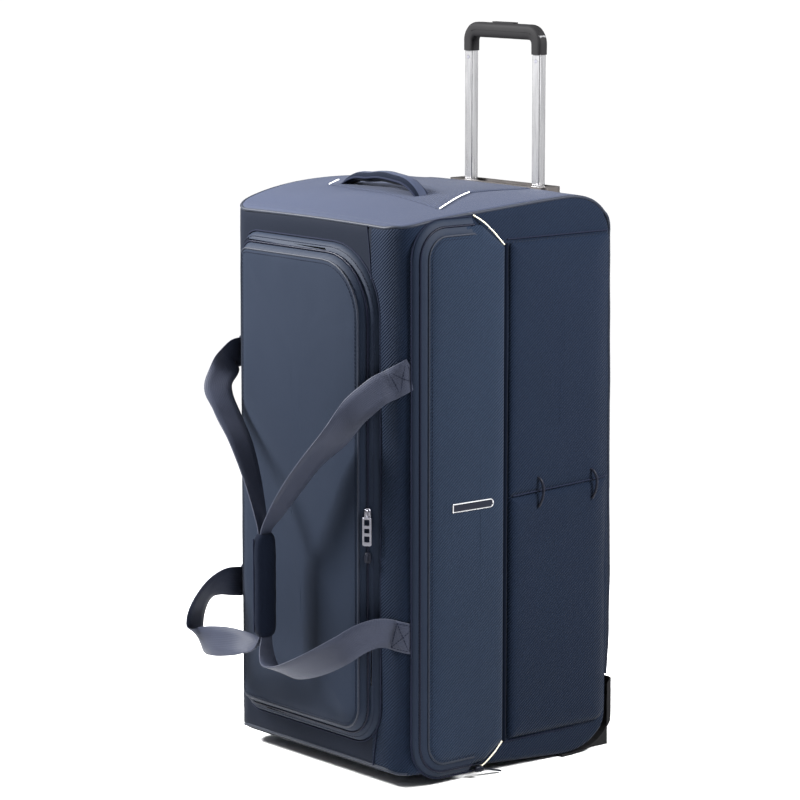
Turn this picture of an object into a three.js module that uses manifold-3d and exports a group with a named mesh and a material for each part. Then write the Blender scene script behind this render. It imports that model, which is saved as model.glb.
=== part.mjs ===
// Rolling duffel bag standing on its end, with the trolley handle pulled out.
// Millimetres, +Z up. The lid faces -Y, the trolley and the wheels are on the +Y side,
// and the zipped pocket is on the +X side.
import * as THREE from 'three';
import { mergeVertices } from 'three/addons/utils/BufferGeometryUtils.js';
import Module from 'manifold-3d';

const wasm = await Module();
wasm.setup();

// ---- driving dimensions -------------------------------------------------------------
const GAP = 0.3;                 // clearance between touching pieces
const BAG_WIDTH = 362;           // X, across the two side panels
const BAG_DEPTH = 384;           // Y, lid face to trolley face
const TOP_BACK_Z = 770;          // top end panel at the trolley side
const TOP_FRONT_Z = 750;         // top end panel at the lid side, a little lower
const TOP_CROWN_Z = 790;         // control height of the crowned top end
const BOTTOM_FRONT_Z = 20;       // bottom end panel at the lid side
const BOTTOM_BACK_Z = 3;         // bottom end panel at the wheels
const WALL = 4;                  // padded fabric wall
const END_CUT_TOP_Z = 736;       // seam between the top end panel and the sides
const END_CUT_BOTTOM_Z = 36;     // seam between the bottom end panel and the sides
const FRONT_CORNER_R = 34;       // vertical corners beside the lid
const BACK_CORNER_R = 16;        // vertical corners beside the trolley
const BACK_END_R = 80;           // round-over of both ends at the trolley side
const FRONT_END_R = 12;          // round-over of both ends at the lid side

const LID = { left: -148, right: 139, bottom: 58, top: 714, rTop: 92, rBottom: 50, rLeft: 30 };
const LID_RISE = 19;             // height of the boxed lid over the front face
const LID_INSET = 18;            // how far the lid's gusset leans in
const MOUTH_LIP = 6;             // fabric left round the opening under the lid
const BOARD_Y = 121;             // inner stiffener board
const BOARD_THICK = 3;
const BOARD_ROOM = 2;            // between the board's edges and the walls
const PIPING = { proud: 3, height: 4 };

const TROLLEY_Y = 145;           // plane of the two trolley tubes
const TUBE_X = 70;               // half the tube spacing
const TUBE = { x: 16, y: 12, wall: 1.4, room: 0.6 };
const TUBE_CORNER_R = 2;
const GUIDE = { x: 20.4, y: 16.4, wall: 1.6, bottom: 66, top: 724 };
const TUBE_BOTTOM_Z = 672;
const TUBE_TOP_Z = 976;
const GRIP_TOP_Z = 990;
const GRIP_BAR = 21;             // height of the grip's bar
const GRIP_LEG_BOTTOM_Z = 950;
const GRIP_DEPTH = 18;
const GRIP = { cornerR: 16, wall: 2, fillet: 4, filletReach: 8 };
const BEZEL = { x: 100, y: 17, top: 772, bottom: 748, cornerR: 8 };
const BRACKET = { reach: 16, halfDepth: 14, bottom: 46, grip: 14 };   // foot of the two guide tubes
const TUB = { x: 84.5, y: 13.2, wall: 2.4, floor: 727, floorThick: 3 };   // recess that takes the grip
const BUTTON = { length: 48, depth: 9, proud: 1.6, cornerR: 4, slack: 0.5 };
const YOKE = { top: GRIP_TOP_Z - 6, thick: 4, depth: 5, overhang: 3 };   // joins the button to its rods
const BUTTON_ROOM = 5.5;         // free space under the button inside the grip

const WHEEL = { x: 150, y: 163, z: 32, r: 32, width: 24, bore: 4, tread: 8, recess: 2 };
const BEARING = { r: 11, half: 7 };
const WELL_ROOM = 3;             // clearance round the wheel
const WELL_WALL = 3;
const GUARD = { x0: 127, x1: 181, front: 96, top: 96, out: 2.5, lip: 8 };
const FOOT = { x: 62, y: -91, halfX: 22, halfY: 19, top: 40 };

// heights of the patches that anchor the web handles
const HANDLE_Z = { nearUpper: 548, nearLower: 212, farUpper: 548, farLower: 228 };
const WEB_WIDTH = 40;
const WEB_THICK = 2;
const WRAP = { x: -9, y: -262, bottom: 188, top: 331, rx: 11, ry: 15, wallX: 4, wallY: 3, mouth: 8, hem: 4 };

const POCKET = { front: -164, back: -11, bottom: 20, top: 732, r: 45, rise: 7.4, door: 4, band: 6 };
const POCKET_ZIP = { grow: 3, low: 2, high: 5 };   // the zip's run round the pocket
const SLIP = { front: 0, back: 172, bottom: 44, seam: 380, top: 715, rise: 6, skin: 3, hem: 6 };
const SEAM_GAP = 5;              // between the slip pocket's edge and the panel above it
const BADGE = { y: -79, z: 374, length: 71, height: 12, thick: 1.6 };

const HALF_W = BAG_WIDTH / 2;
const HALF_D = BAG_DEPTH / 2;

// ---- materials ----------------------------------------------------------------------
const finish = (color, roughness, metalness = 0) =>
  new THREE.MeshStandardMaterial({ color, roughness, metalness });
const twill = () => finish(0x2a3850, 0.85);
const weave = () => finish(0x33425a, 0.8);
const binding = () => finish(0x1c2436, 0.8);
const webbing = () => finish(0x3a3c58, 0.85);
const blackPlastic = () => finish(0x2a2a2c, 0.55);
const tyreRubber = () => finish(0x1b1b1c, 0.9);
const brushedAluminium = () => finish(0xc9cacc, 0.32, 1);
const darkMetal = () => finish(0x7c7672, 0.35, 1);
const steel = () => finish(0xb8babd, 0.3, 1);
const boardPlastic = () => finish(0x24262a, 0.7);

// ---- helpers ------------------------------------------------------------------------
const bag = new THREE.Group();

function toSolid(geometry) {
  const bare = geometry.clone();
  bare.deleteAttribute('normal');
  bare.deleteAttribute('uv');
  const merged = mergeVertices(bare, 1e-4);
  const vertProperties = new Float32Array(merged.attributes.position.array);
  const triVerts = new Uint32Array(merged.index.array);
  return new wasm.Manifold(new wasm.Mesh({ numProp: 3, vertProperties, triVerts }));
}

function toGeometry(solid) {
  const mesh = solid.getMesh();
  const geometry = new THREE.BufferGeometry();
  geometry.setAttribute('position', new THREE.BufferAttribute(new Float32Array(mesh.vertProperties), 3));
  geometry.setIndex(new THREE.BufferAttribute(new Uint32Array(mesh.triVerts), 1));
  geometry.computeVertexNormals();
  return geometry;
}

function piece(name, shape, material, parent = bag) {
  const geometry = shape.isBufferGeometry ? shape : toGeometry(shape);
  const mesh = new THREE.Mesh(geometry, material);
  mesh.name = name;
  parent.add(mesh);
  return mesh;
}

function block(x0, x1, y0, y1, z0, z1) {
  const geometry = new THREE.BoxGeometry(x1 - x0, y1 - y0, z1 - z0);
  geometry.translate((x0 + x1) / 2, (y0 + y1) / 2, (z0 + z1) / 2);
  return toSolid(geometry);
}

const FRAMES = {
  x: new THREE.Matrix4().makeBasis(
    new THREE.Vector3(0, 1, 0), new THREE.Vector3(0, 0, 1), new THREE.Vector3(1, 0, 0)),
  y: new THREE.Matrix4().makeBasis(
    new THREE.Vector3(1, 0, 0), new THREE.Vector3(0, 0, 1), new THREE.Vector3(0, -1, 0)),
  z: new THREE.Matrix4(),
};

// An outline pushed along x (outline in y, z), y (outline in x, z) or z (outline in x, y).
function slab(outline, axis, from, to, curveSegments = 6) {
  const geometry = new THREE.ExtrudeGeometry(outline, {
    depth: to - from, bevelEnabled: false, curveSegments,
  });
  geometry.applyMatrix4(FRAMES[axis]);
  const start = axis === 'y' ? to : from;
  geometry.translate(axis === 'x' ? start : 0, axis === 'y' ? start : 0, axis === 'z' ? start : 0);
  return toSolid(geometry);
}

// A rounded rectangle; radii in the order low-low, high-low, high-high, low-high.
function roundedRect(x0, x1, y0, y1, radii) {
  const [a, b, c, d] = radii;
  const shape = new THREE.Shape();
  shape.moveTo(x0 + a, y0);
  shape.lineTo(x1 - b, y0);
  shape.absarc(x1 - b, y0 + b, b, -Math.PI / 2, 0, false);
  shape.lineTo(x1, y1 - c);
  shape.absarc(x1 - c, y1 - c, c, 0, Math.PI / 2, false);
  shape.lineTo(x0 + d, y1);
  shape.absarc(x0 + d, y1 - d, d, Math.PI / 2, Math.PI, false);
  shape.lineTo(x0, y0 + a);
  shape.absarc(x0 + a, y0 + a, a, Math.PI, 1.5 * Math.PI, false);
  return shape;
}

function disc(r, axis, centre, from, to, segments = 32) {
  const geometry = new THREE.CylinderGeometry(r, r, to - from, segments);
  if (axis === 'x') geometry.rotateZ(Math.PI / 2);
  if (axis === 'z') geometry.rotateX(Math.PI / 2);
  const middle = (from + to) / 2;
  const place = { x: [middle, ...centre], y: [centre[0], middle, centre[1]], z: [...centre, middle] };
  geometry.translate(...place[axis]);
  return toSolid(geometry);
}

// A flat strap through points; wide gives the direction and the width of the strap at each point.
function ribbon(points, wide, thickness, steps) {
  const path = new THREE.CatmullRomCurve3(points.map((p) => new THREE.Vector3(...p)), false, 'centripetal');
  const across = new THREE.CatmullRomCurve3(wide.map((w) => new THREE.Vector3(...w)), false, 'centripetal');
  const corners = [];
  for (let i = 0; i <= steps; i += 1) {
    const t = i / steps;
    const centre = path.getPoint(t);
    const tangent = path.getTangent(t);
    const side = across.getPoint(t);
    const width = side.length();
    side.addScaledVector(tangent, -side.dot(tangent)).setLength(width / 2);
    const normal = new THREE.Vector3().crossVectors(tangent, side).setLength(thickness / 2);
    for (const [s, n] of [[-1, -1], [1, -1], [1, 1], [-1, 1]]) {
      const corner = centre.clone().addScaledVector(side, s).addScaledVector(normal, n);
      corners.push(corner.x, corner.y, corner.z);
    }
  }
  const faces = [0, 2, 1, 0, 3, 2];
  for (let i = 0; i < steps; i += 1) {
    for (let k = 0; k < 4; k += 1) {
      const a = 4 * i + k;
      const b = 4 * i + ((k + 1) % 4);
      faces.push(a, b, b + 4, a, b + 4, a + 4);
    }
  }
  const last = 4 * steps;
  faces.push(last, last + 1, last + 2, last, last + 2, last + 3);
  const geometry = new THREE.BufferGeometry();
  geometry.setAttribute('position', new THREE.Float32BufferAttribute(corners, 3));
  geometry.setIndex(faces);
  return geometry;
}

// ---- the soft body ------------------------------------------------------------------
function sideProfile(inset) {
  const front = -HALF_D + inset;
  const back = HALF_D - inset;
  const r = Math.max(FRONT_END_R - inset, 2);
  const big = BACK_END_R - inset;
  const shape = new THREE.Shape();
  shape.moveTo(front, TOP_FRONT_Z - inset - r);
  shape.lineTo(front, BOTTOM_FRONT_Z + inset + r);
  shape.quadraticCurveTo(front, BOTTOM_FRONT_Z + inset, front + r, BOTTOM_FRONT_Z + inset);
  shape.lineTo(back - big, BOTTOM_BACK_Z + inset);
  shape.quadraticCurveTo(back, BOTTOM_BACK_Z + inset, back, BOTTOM_BACK_Z + inset + big);
  shape.lineTo(back, TOP_BACK_Z - inset - big);
  shape.quadraticCurveTo(back, TOP_BACK_Z - inset, back - big, TOP_BACK_Z - inset);
  shape.quadraticCurveTo(-BACK_END_R, TOP_CROWN_Z - inset, front + r, TOP_FRONT_Z - inset);
  shape.quadraticCurveTo(front, TOP_FRONT_Z - inset, front, TOP_FRONT_Z - inset - r);
  return shape;
}

function planProfile(inset) {
  const front = Math.max(FRONT_CORNER_R - inset, 1);
  const back = Math.max(BACK_CORNER_R - inset, 1);
  return roundedRect(-HALF_W + inset, HALF_W - inset, -HALF_D + inset, HALF_D - inset,
    [front, front, back, back]);
}

function bodySolid(inset) {
  const sides = slab(sideProfile(inset), 'x', -HALF_W + inset, HALF_W - inset, 8);
  return sides.intersect(slab(planProfile(inset), 'z', -GUARD.out, TOP_CROWN_Z));
}

function lidOutline(grow) {
  return roundedRect(LID.left - grow, LID.right + grow, LID.bottom - grow, LID.top + grow,
    [LID.rLeft + grow, LID.rBottom + grow, LID.rTop + grow, LID.rLeft + grow]);
}

const outer = bodySolid(0);
const clearOfBody = bodySolid(-GAP);
const lidMouth = slab(lidOutline(-MOUTH_LIP), 'y', -HALF_D - 1, -HALF_D + WALL + 1);
const wellSize = WHEEL.r + WELL_ROOM;
const wellX = WHEEL.width / 2 + WELL_ROOM;
const wellBox = (side, grow) => block(
  side * WHEEL.x - wellX - WELL_WALL - grow, side * WHEEL.x + wellX + WELL_WALL + grow,
  WHEEL.y - wellSize - WELL_WALL - grow, HALF_D + GUARD.out + 1,
  -GUARD.out, WHEEL.z + wellSize + WELL_WALL + grow);
const tubHole = block(-TUB.x - GAP, TUB.x + GAP, TROLLEY_Y - TUB.y - GAP, TROLLEY_Y + TUB.y + GAP,
  TUB.floor, TOP_CROWN_Z);
const shell = outer.subtract(bodySolid(WALL)).subtract(lidMouth).subtract(tubHole)
  .subtract(wellBox(-1, GAP)).subtract(wellBox(1, GAP));
const borderY = -HALF_D + FRONT_CORNER_R + 2;
const backY = HALF_D - BACK_CORNER_R - 2;
const far = 2 * TOP_BACK_Z;
const region = (y0, y1, z0, z1, x0 = -far, x1 = far) =>
  shell.intersect(block(x0, x1, y0, y1, z0, z1));
const midLow = END_CUT_BOTTOM_Z + GAP;
const midHigh = END_CUT_TOP_Z - GAP;
piece('top_end_panel', region(-far, far, END_CUT_TOP_Z, far), weave());
piece('bottom_end_panel', region(-far, far, -far, END_CUT_BOTTOM_Z), weave());
piece('lid_border', region(-far, borderY, midLow, midHigh), twill());
piece('right_side_panel', region(borderY + GAP, backY, midLow, midHigh, 0), twill());
piece('left_side_panel', region(borderY + GAP, backY, midLow, midHigh, -far, 0), twill());
piece('back_panel', region(backY + GAP, far, midLow, midHigh), twill());

const boardSide = HALF_W - WALL - BOARD_ROOM;
piece('inner_board', block(-boardSide, boardSide, BOARD_Y, BOARD_Y + BOARD_THICK,
  END_CUT_BOTTOM_Z + BOARD_ROOM, END_CUT_TOP_Z - BOARD_ROOM), boardPlastic());

// ---- piping round the two ends ------------------------------------------------------
function pipingRing(z) {
  const ring = slab(planProfile(-GAP - PIPING.proud), 'z', z, z + PIPING.height);
  const slot = slab(planProfile(-GAP), 'z', z - 1, z + PIPING.height + 1);
  const trim = block(-far, far, -far, GUARD.front - 2, -far, far);
  return ring.subtract(slot).intersect(trim);
}
piece('top_end_piping', pipingRing(TOP_FRONT_Z - FRONT_END_R), binding());
const besidePocket = block(0, far, POCKET.front - 2 * PIPING.height, far, -far, far);
const bottomRing = pipingRing(BOTTOM_FRONT_Z + FRONT_END_R - PIPING.height);
piece('bottom_end_piping', bottomRing.subtract(besidePocket), binding());

// ---- lid ----------------------------------------------------------------------------
function lidShell(grow) {
  const geometry = new THREE.ExtrudeGeometry(lidOutline(-LID_INSET + grow), {
    depth: 2, bevelEnabled: true, bevelThickness: LID_RISE - 2 + grow, bevelSize: LID_INSET,
    bevelSegments: 3, curveSegments: 6,
  });
  geometry.applyMatrix4(FRAMES.y);
  geometry.translate(0, -HALF_D, 0);
  const front = block(-far, far, -far, -HALF_D - GAP, -far, far);
  return toSolid(geometry).intersect(front);
}
const lid = new THREE.Group();
bag.add(lid);
piece('lid_panel', lidShell(0).subtract(lidShell(-WALL)), weave(), lid);

const ZIP_OUT = 4;
const ZIP_IN = 1;
const ZIP_STAND = 11;
const chainRing = slab(lidOutline(ZIP_OUT), 'y', -HALF_D - ZIP_STAND, -HALF_D - GAP)
  .subtract(slab(lidOutline(ZIP_IN), 'y', -HALF_D - ZIP_STAND - 1, -HALF_D))
  .subtract(block(-far, LID.left + LID.rLeft, -far, far, -far, far));
piece('lid_zip_chain', chainRing, binding());

const SLIDER = { x: LID.right + ZIP_OUT + GAP, thick: 6, length: 14, y0: -HALF_D - 14, y1: -HALF_D - 3 };
function lidSlider(z) {
  return block(SLIDER.x, SLIDER.x + SLIDER.thick, SLIDER.y0, SLIDER.y1, z, z + SLIDER.length);
}
const UPPER_SLIDER_Z = 362;
const LOWER_SLIDER_Z = 303;
piece('lid_slider_upper', lidSlider(UPPER_SLIDER_Z), steel());
piece('lid_slider_lower', lidSlider(LOWER_SLIDER_Z), binding());
const PULL = { length: 34, thick: 3, window: 7, upper: 13, lower: 24, rim: 3, inset: 1 };
const pullTop = UPPER_SLIDER_Z - 4 * GAP;
const pullWindow = (drop) => block(0, far, SLIDER.y0 + PULL.rim, SLIDER.y1 - PULL.rim,
  pullTop - drop, pullTop - drop + PULL.window);
const pullPlate = block(SLIDER.x + PULL.inset, SLIDER.x + PULL.inset + PULL.thick, SLIDER.y0, SLIDER.y1,
  pullTop - PULL.length, pullTop);
piece('lid_pull_tab', pullPlate.subtract(pullWindow(PULL.upper)).subtract(pullWindow(PULL.lower)), steel());

// ---- web handles --------------------------------------------------------------------
const PATCH = { thick: 2.4, edge: 165, back: 24 };
function anchorPatch(side, z) {
  const plate = slab(planProfile(-GAP - PATCH.thick), 'z', z - WEB_WIDTH / 2, z + WEB_WIDTH / 2)
    .subtract(slab(planProfile(-GAP), 'z', z - WEB_WIDTH, z + WEB_WIDTH));
  const x0 = side > 0 ? PATCH.edge : -far;
  const x1 = side > 0 ? far : -PATCH.edge;
  return plate.intersect(block(x0, x1, -far, -HALF_D + PATCH.back, -far, far));
}
piece('near_anchor_upper', anchorPatch(1, HANDLE_Z.nearUpper), webbing());
piece('near_anchor_lower', anchorPatch(1, HANDLE_Z.nearLower), webbing());
piece('far_anchor_upper', anchorPatch(-1, HANDLE_Z.farUpper), webbing());
piece('far_anchor_lower', anchorPatch(-1, HANDLE_Z.farLower), webbing());

// Each station is a point on a strap's centre line, with the direction and the width across it.
const gripMid = (WRAP.top + WRAP.bottom) / 2;
const FOLDED_WEB = 18;           // width of a strap folded inside the grip
const GRIP_LEAD = 16;            // straight run of a strap at each end of the grip
const STRAP_OFFSET = 2.7;        // how far each strap runs from the middle of the grip
function webStrap(stations) {
  return ribbon(stations.map((s) => s.slice(0, 3)), stations.map((s) => s.slice(3)), WEB_THICK, 72);
}
function inGrip(x) {
  return [WRAP.top, WRAP.top - GRIP_LEAD, gripMid, WRAP.bottom + GRIP_LEAD, WRAP.bottom]
    .map((z) => [x, WRAP.y, z, 0, FOLDED_WEB, 0]);
}
// A strap leaves its patch along the tangent of the bag's rounded corner.
const LEAVE_ANGLE = 0.66;
const strapR = FRONT_CORNER_R + 2 * GAP + PATCH.thick + WEB_THICK / 2;
function onPatch(side, z, up) {
  const x = HALF_W - FRONT_CORNER_R + strapR * Math.sin(LEAVE_ANGLE);
  const y = -HALF_D + FRONT_CORNER_R - strapR * Math.cos(LEAVE_ANGLE);
  return [side * x, y, z, 0, 0, up * WEB_WIDTH];
}
const nearStations = [
  onPatch(1, HANDLE_Z.nearUpper, -1),
  [154, -201, 546, 0, 0, -40],
  [146, -207, 536, 6, 2, -39],
  [129, -218, 509, 20, 14, -31],
  [106, -234, 470, 10, 34, -18],
  [75, -248, 435, 1, 37, -10],
  [43, -256, 396, 2, 32, -9],
  [13, -261, 357, 2, 24, -6],
  ...inGrip(WRAP.x + STRAP_OFFSET),
  [-4, -264, 170, 0, 24, -4],
  [10, -268, 153, 0, 32, -10],
  [39, -268, 150, 3, 34, -20],
  [88, -262, 167, 8, 25, -30],
  [131, -246, 192, 8, 12, -37],
  [149, -224, 206, 3, 3, -40],
  [158, -202, 212, 0, 0, -40],
  onPatch(1, HANDLE_Z.nearLower, -1),
];
const farStations = [
  onPatch(-1, HANDLE_Z.farUpper, -1),
  [-158, -202, 546, 0, 0, -40],
  [-155, -215, 532, 14, 2, -37],
  [-151, -232, 507, 28, 18, -18],
  [-120, -240, 476, 14, 35, -8],
  [-79, -248, 441, 5, 37, -7],
  [-44, -256, 398, 1, 30, -5],
  [-21, -261, 357, 0, 22, -4],
  ...inGrip(WRAP.x - STRAP_OFFSET),
  [-20, -264, 176, -3, 22, 8],
  [-46, -267, 173, -4, 22, 24],
  [-84, -268, 169, -4, 12, 37],
  [-124, -268, 163, 0, 2, 40],
  [-150, -267, 160, 3, -16, 36],
  [-163, -265, 169, 8, -32, 22],
  [-168, -261, 188, 12, -36, 13],
  [-165, -253, 210, 16, -32, 17],
  [-160, -240, 226, 18, -20, 30],
  [-156, -221, 233, 10, -8, 38],
  [-157, -201, 231, 0, 0, 40],
  onPatch(-1, HANDLE_Z.farLower, 1),
];
const farHandle = new THREE.Group();
bag.add(farHandle);
piece('near_handle_strap', webStrap(nearStations), webbing());
piece('far_handle_strap', webStrap(farStations), webbing(), farHandle);

function ellipseOutline(rx, ry) {
  return new THREE.Shape(new THREE.EllipseCurve(WRAP.x, WRAP.y, rx, ry).getPoints(20));
}
const wrapMouth = block(WRAP.x - WRAP.mouth / 2, WRAP.x + WRAP.mouth / 2, WRAP.y, WRAP.y + 2 * WRAP.ry, 0, far);
const wrapInside = ellipseOutline(WRAP.rx - WRAP.wallX, WRAP.ry - WRAP.wallY);
const wrapSleeve = slab(ellipseOutline(WRAP.rx, WRAP.ry), 'z', WRAP.bottom + WRAP.hem, WRAP.top - WRAP.hem)
  .subtract(slab(wrapInside, 'z', WRAP.bottom, WRAP.top))
  .subtract(wrapMouth);
piece('handle_grip_wrap', wrapSleeve, binding(), farHandle);

// ---- carry handle on the top end ----------------------------------------------------
const CARRY = { y: -68, z: 762, reach: 100, foot: 26, rise: 33, width: 24, thick: 9, shoulder: 60, palm: 50 };
const carryArch = new THREE.Shape();
carryArch.moveTo(-CARRY.reach, 0);
carryArch.quadraticCurveTo(-CARRY.shoulder, CARRY.rise, 0, CARRY.rise);
carryArch.quadraticCurveTo(CARRY.shoulder, CARRY.rise, CARRY.reach, 0);
carryArch.lineTo(CARRY.reach - CARRY.foot, 0);
carryArch.quadraticCurveTo(CARRY.palm, CARRY.rise - CARRY.thick, 0, CARRY.rise - CARRY.thick);
carryArch.quadraticCurveTo(-CARRY.palm, CARRY.rise - CARRY.thick, -CARRY.reach + CARRY.foot, 0);
const carrySolid = slab(carryArch, 'y', CARRY.y - CARRY.width / 2, CARRY.y + CARRY.width / 2, 8)
  .translate([0, 0, CARRY.z]).subtract(clearOfBody);
piece('top_carry_handle', carrySolid, binding());

// ---- trolley: fixed parts -----------------------------------------------------------
function tubeSolid(side, size, z0, z1) {
  const hx = size.x / 2;
  const hy = size.y / 2;
  const outline = (cut) => roundedRect(side * TUBE_X - hx + cut, side * TUBE_X + hx - cut,
    TROLLEY_Y - hy + cut, TROLLEY_Y + hy - cut, Array(4).fill(Math.max(TUBE_CORNER_R - cut, 0.5)));
  const rod = slab(outline(0), 'z', z0, z1, 2);
  return rod.subtract(slab(outline(size.wall), 'z', z0 - 1, z1 + 1, 2));
}
function aroundTube(side, size, room, z0, z1) {
  return block(side * TUBE_X - size.x / 2 - room, side * TUBE_X + size.x / 2 + room,
    TROLLEY_Y - size.y / 2 - room, TROLLEY_Y + size.y / 2 + room, z0, z1);
}
const sides = { left: -1, right: 1 };
let bezel = slab(roundedRect(-BEZEL.x, BEZEL.x, TROLLEY_Y - BEZEL.y, TROLLEY_Y + BEZEL.y,
  Array(4).fill(BEZEL.cornerR)), 'z', BEZEL.bottom, BEZEL.top, 3).subtract(clearOfBody);
bezel = bezel.add(block(-TUB.x, TUB.x, TROLLEY_Y - TUB.y, TROLLEY_Y + TUB.y, TUB.floor, BEZEL.top - 1))
  .subtract(block(-TUB.x + TUB.wall, TUB.x - TUB.wall, TROLLEY_Y - TUB.y + TUB.wall,
    TROLLEY_Y + TUB.y - TUB.wall, TUB.floor + TUB.floorThick, far));
for (const side of Object.values(sides)) {
  bezel = bezel.subtract(aroundTube(side, TUBE, TUBE.room, 0, far));
}
piece('trolley_bezel', bezel, darkMetal());

let bottomBracket = block(-TUBE_X - BRACKET.reach, TUBE_X + BRACKET.reach, TROLLEY_Y - BRACKET.halfDepth,
  TROLLEY_Y + BRACKET.halfDepth, BRACKET.bottom, GUIDE.bottom + BRACKET.grip);
for (const [name, side] of Object.entries(sides)) {
  bottomBracket = bottomBracket.subtract(aroundTube(side, GUIDE, GAP, GUIDE.bottom - GAP, far));
  piece(`guide_tube_${name}`, tubeSolid(side, GUIDE, GUIDE.bottom, GUIDE.top), brushedAluminium());
}
piece('bottom_bracket', bottomBracket, blackPlastic());

// ---- trolley: moving parts ----------------------------------------------------------
const trolley = new THREE.Group();
const button = new THREE.Group();
bag.add(trolley, button);
const gripHalf = TUBE_X + TUBE.x / 2 + GRIP.wall;
const legInner = TUBE_X - TUBE.x / 2 - GRIP.wall;
const barUnder = GRIP_TOP_Z - GRIP_BAR;
const cornerZ = GRIP_TOP_Z - GRIP.cornerR;
const gripOuter = new THREE.Shape();
gripOuter.moveTo(-gripHalf, GRIP_LEG_BOTTOM_Z);
gripOuter.lineTo(-gripHalf, cornerZ);
gripOuter.absarc(-gripHalf + GRIP.cornerR, cornerZ, GRIP.cornerR, Math.PI, Math.PI / 2, true);
gripOuter.lineTo(gripHalf - GRIP.cornerR, GRIP_TOP_Z);
gripOuter.absarc(gripHalf - GRIP.cornerR, cornerZ, GRIP.cornerR, Math.PI / 2, 0, true);
gripOuter.lineTo(gripHalf, GRIP_LEG_BOTTOM_Z);
gripOuter.lineTo(legInner, GRIP_LEG_BOTTOM_Z);
gripOuter.lineTo(legInner, barUnder - GRIP.fillet);
gripOuter.quadraticCurveTo(legInner, barUnder, legInner - GRIP.filletReach, barUnder);
gripOuter.lineTo(-legInner + GRIP.filletReach, barUnder);
gripOuter.quadraticCurveTo(-legInner, barUnder, -legInner, barUnder - GRIP.fillet);
gripOuter.lineTo(-legInner, GRIP_LEG_BOTTOM_Z);

// A slot in the middle of the grip's depth, open or closed at the top.
function gripSlot(half, depth, z0, z1) {
  return block(-half - BUTTON.slack, half + BUTTON.slack,
    TROLLEY_Y - depth / 2 - BUTTON.slack, TROLLEY_Y + depth / 2 + BUTTON.slack, z0, z1);
}
const yokeHalf = TUBE_X + YOKE.overhang;
let grip = slab(gripOuter, 'y', TROLLEY_Y - GRIP_DEPTH / 2, TROLLEY_Y + GRIP_DEPTH / 2)
  .subtract(gripSlot(BUTTON.length / 2, BUTTON.depth, YOKE.top - 1 - BUTTON_ROOM, far))
  .subtract(gripSlot(yokeHalf, YOKE.depth, YOKE.top - YOKE.thick - BUTTON_ROOM, YOKE.top + BUTTON.slack));
for (const side of Object.values(sides)) {
  grip = grip.subtract(aroundTube(side, TUBE, GAP, 0, TUBE_TOP_Z + GAP));
}
piece('trolley_grip', grip, blackPlastic(), trolley);

const capOutline = roundedRect(-BUTTON.length / 2, BUTTON.length / 2, TROLLEY_Y - BUTTON.depth / 2,
  TROLLEY_Y + BUTTON.depth / 2, Array(4).fill(BUTTON.cornerR));
const cap = slab(capOutline, 'z', YOKE.top - 1, GRIP_TOP_Z + BUTTON.proud, 3);
const yoke = block(-yokeHalf, yokeHalf, TROLLEY_Y - YOKE.depth / 2, TROLLEY_Y + YOKE.depth / 2,
  YOKE.top - YOKE.thick, YOKE.top);
piece('release_button', cap.add(yoke), blackPlastic(), button);

const ROD_R = 2;
const RIVET = { r: 2.5, drop: 9, proud: 0.2 };
const LOCK = { top: TUBE_BOTTOM_Z + 12, plug: 14, pin: 3, tail: 2.2 };
for (const [name, side] of Object.entries(sides)) {
  const x = side * TUBE_X;
  const rivetAt = [x, GRIP_LEG_BOTTOM_Z - RIVET.drop];
  const tubeFace = TROLLEY_Y - TUBE.y / 2;
  const rivetHole = disc(RIVET.r + GAP, 'y', rivetAt, tubeFace - 1, TROLLEY_Y, 12);
  piece(`inner_tube_${name}`, tubeSolid(side, TUBE, TUBE_BOTTOM_Z + GAP, TUBE_TOP_Z).subtract(rivetHole),
    brushedAluminium(), trolley);
  piece(`release_rod_${name}`, disc(ROD_R, 'z', [x, TROLLEY_Y], LOCK.top,
    YOKE.top - YOKE.thick - GAP, 10), steel(), button);
  const shoe = slab(roundedRect(x - GUIDE.x / 2 + GUIDE.wall + GAP, x + GUIDE.x / 2 - GUIDE.wall - GAP,
    TROLLEY_Y - GUIDE.y / 2 + GUIDE.wall + GAP, TROLLEY_Y + GUIDE.y / 2 - GUIDE.wall - GAP,
    Array(4).fill(1)), 'z', TUBE_BOTTOM_Z - LOCK.plug, TUBE_BOTTOM_Z, 2);
  const pinAt = [x, TUBE_BOTTOM_Z - LOCK.plug / 2];
  const pinHole = disc(LOCK.pin + GAP, 'y', pinAt, TROLLEY_Y, far, 12);
  piece(`lock_shoe_${name}`, shoe.subtract(pinHole), blackPlastic(), trolley);
  const pinTip = TROLLEY_Y + GUIDE.y / 2 - GUIDE.wall - GAP;
  piece(`lock_pin_${name}`, disc(LOCK.pin, 'y', pinAt, TROLLEY_Y + LOCK.tail, pinTip, 12), steel(), trolley);
  piece(`tube_rivet_${name}`, disc(RIVET.r, 'y', rivetAt, tubeFace - RIVET.proud, tubeFace + TUBE.wall, 12),
    steel(), trolley);
}

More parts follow.
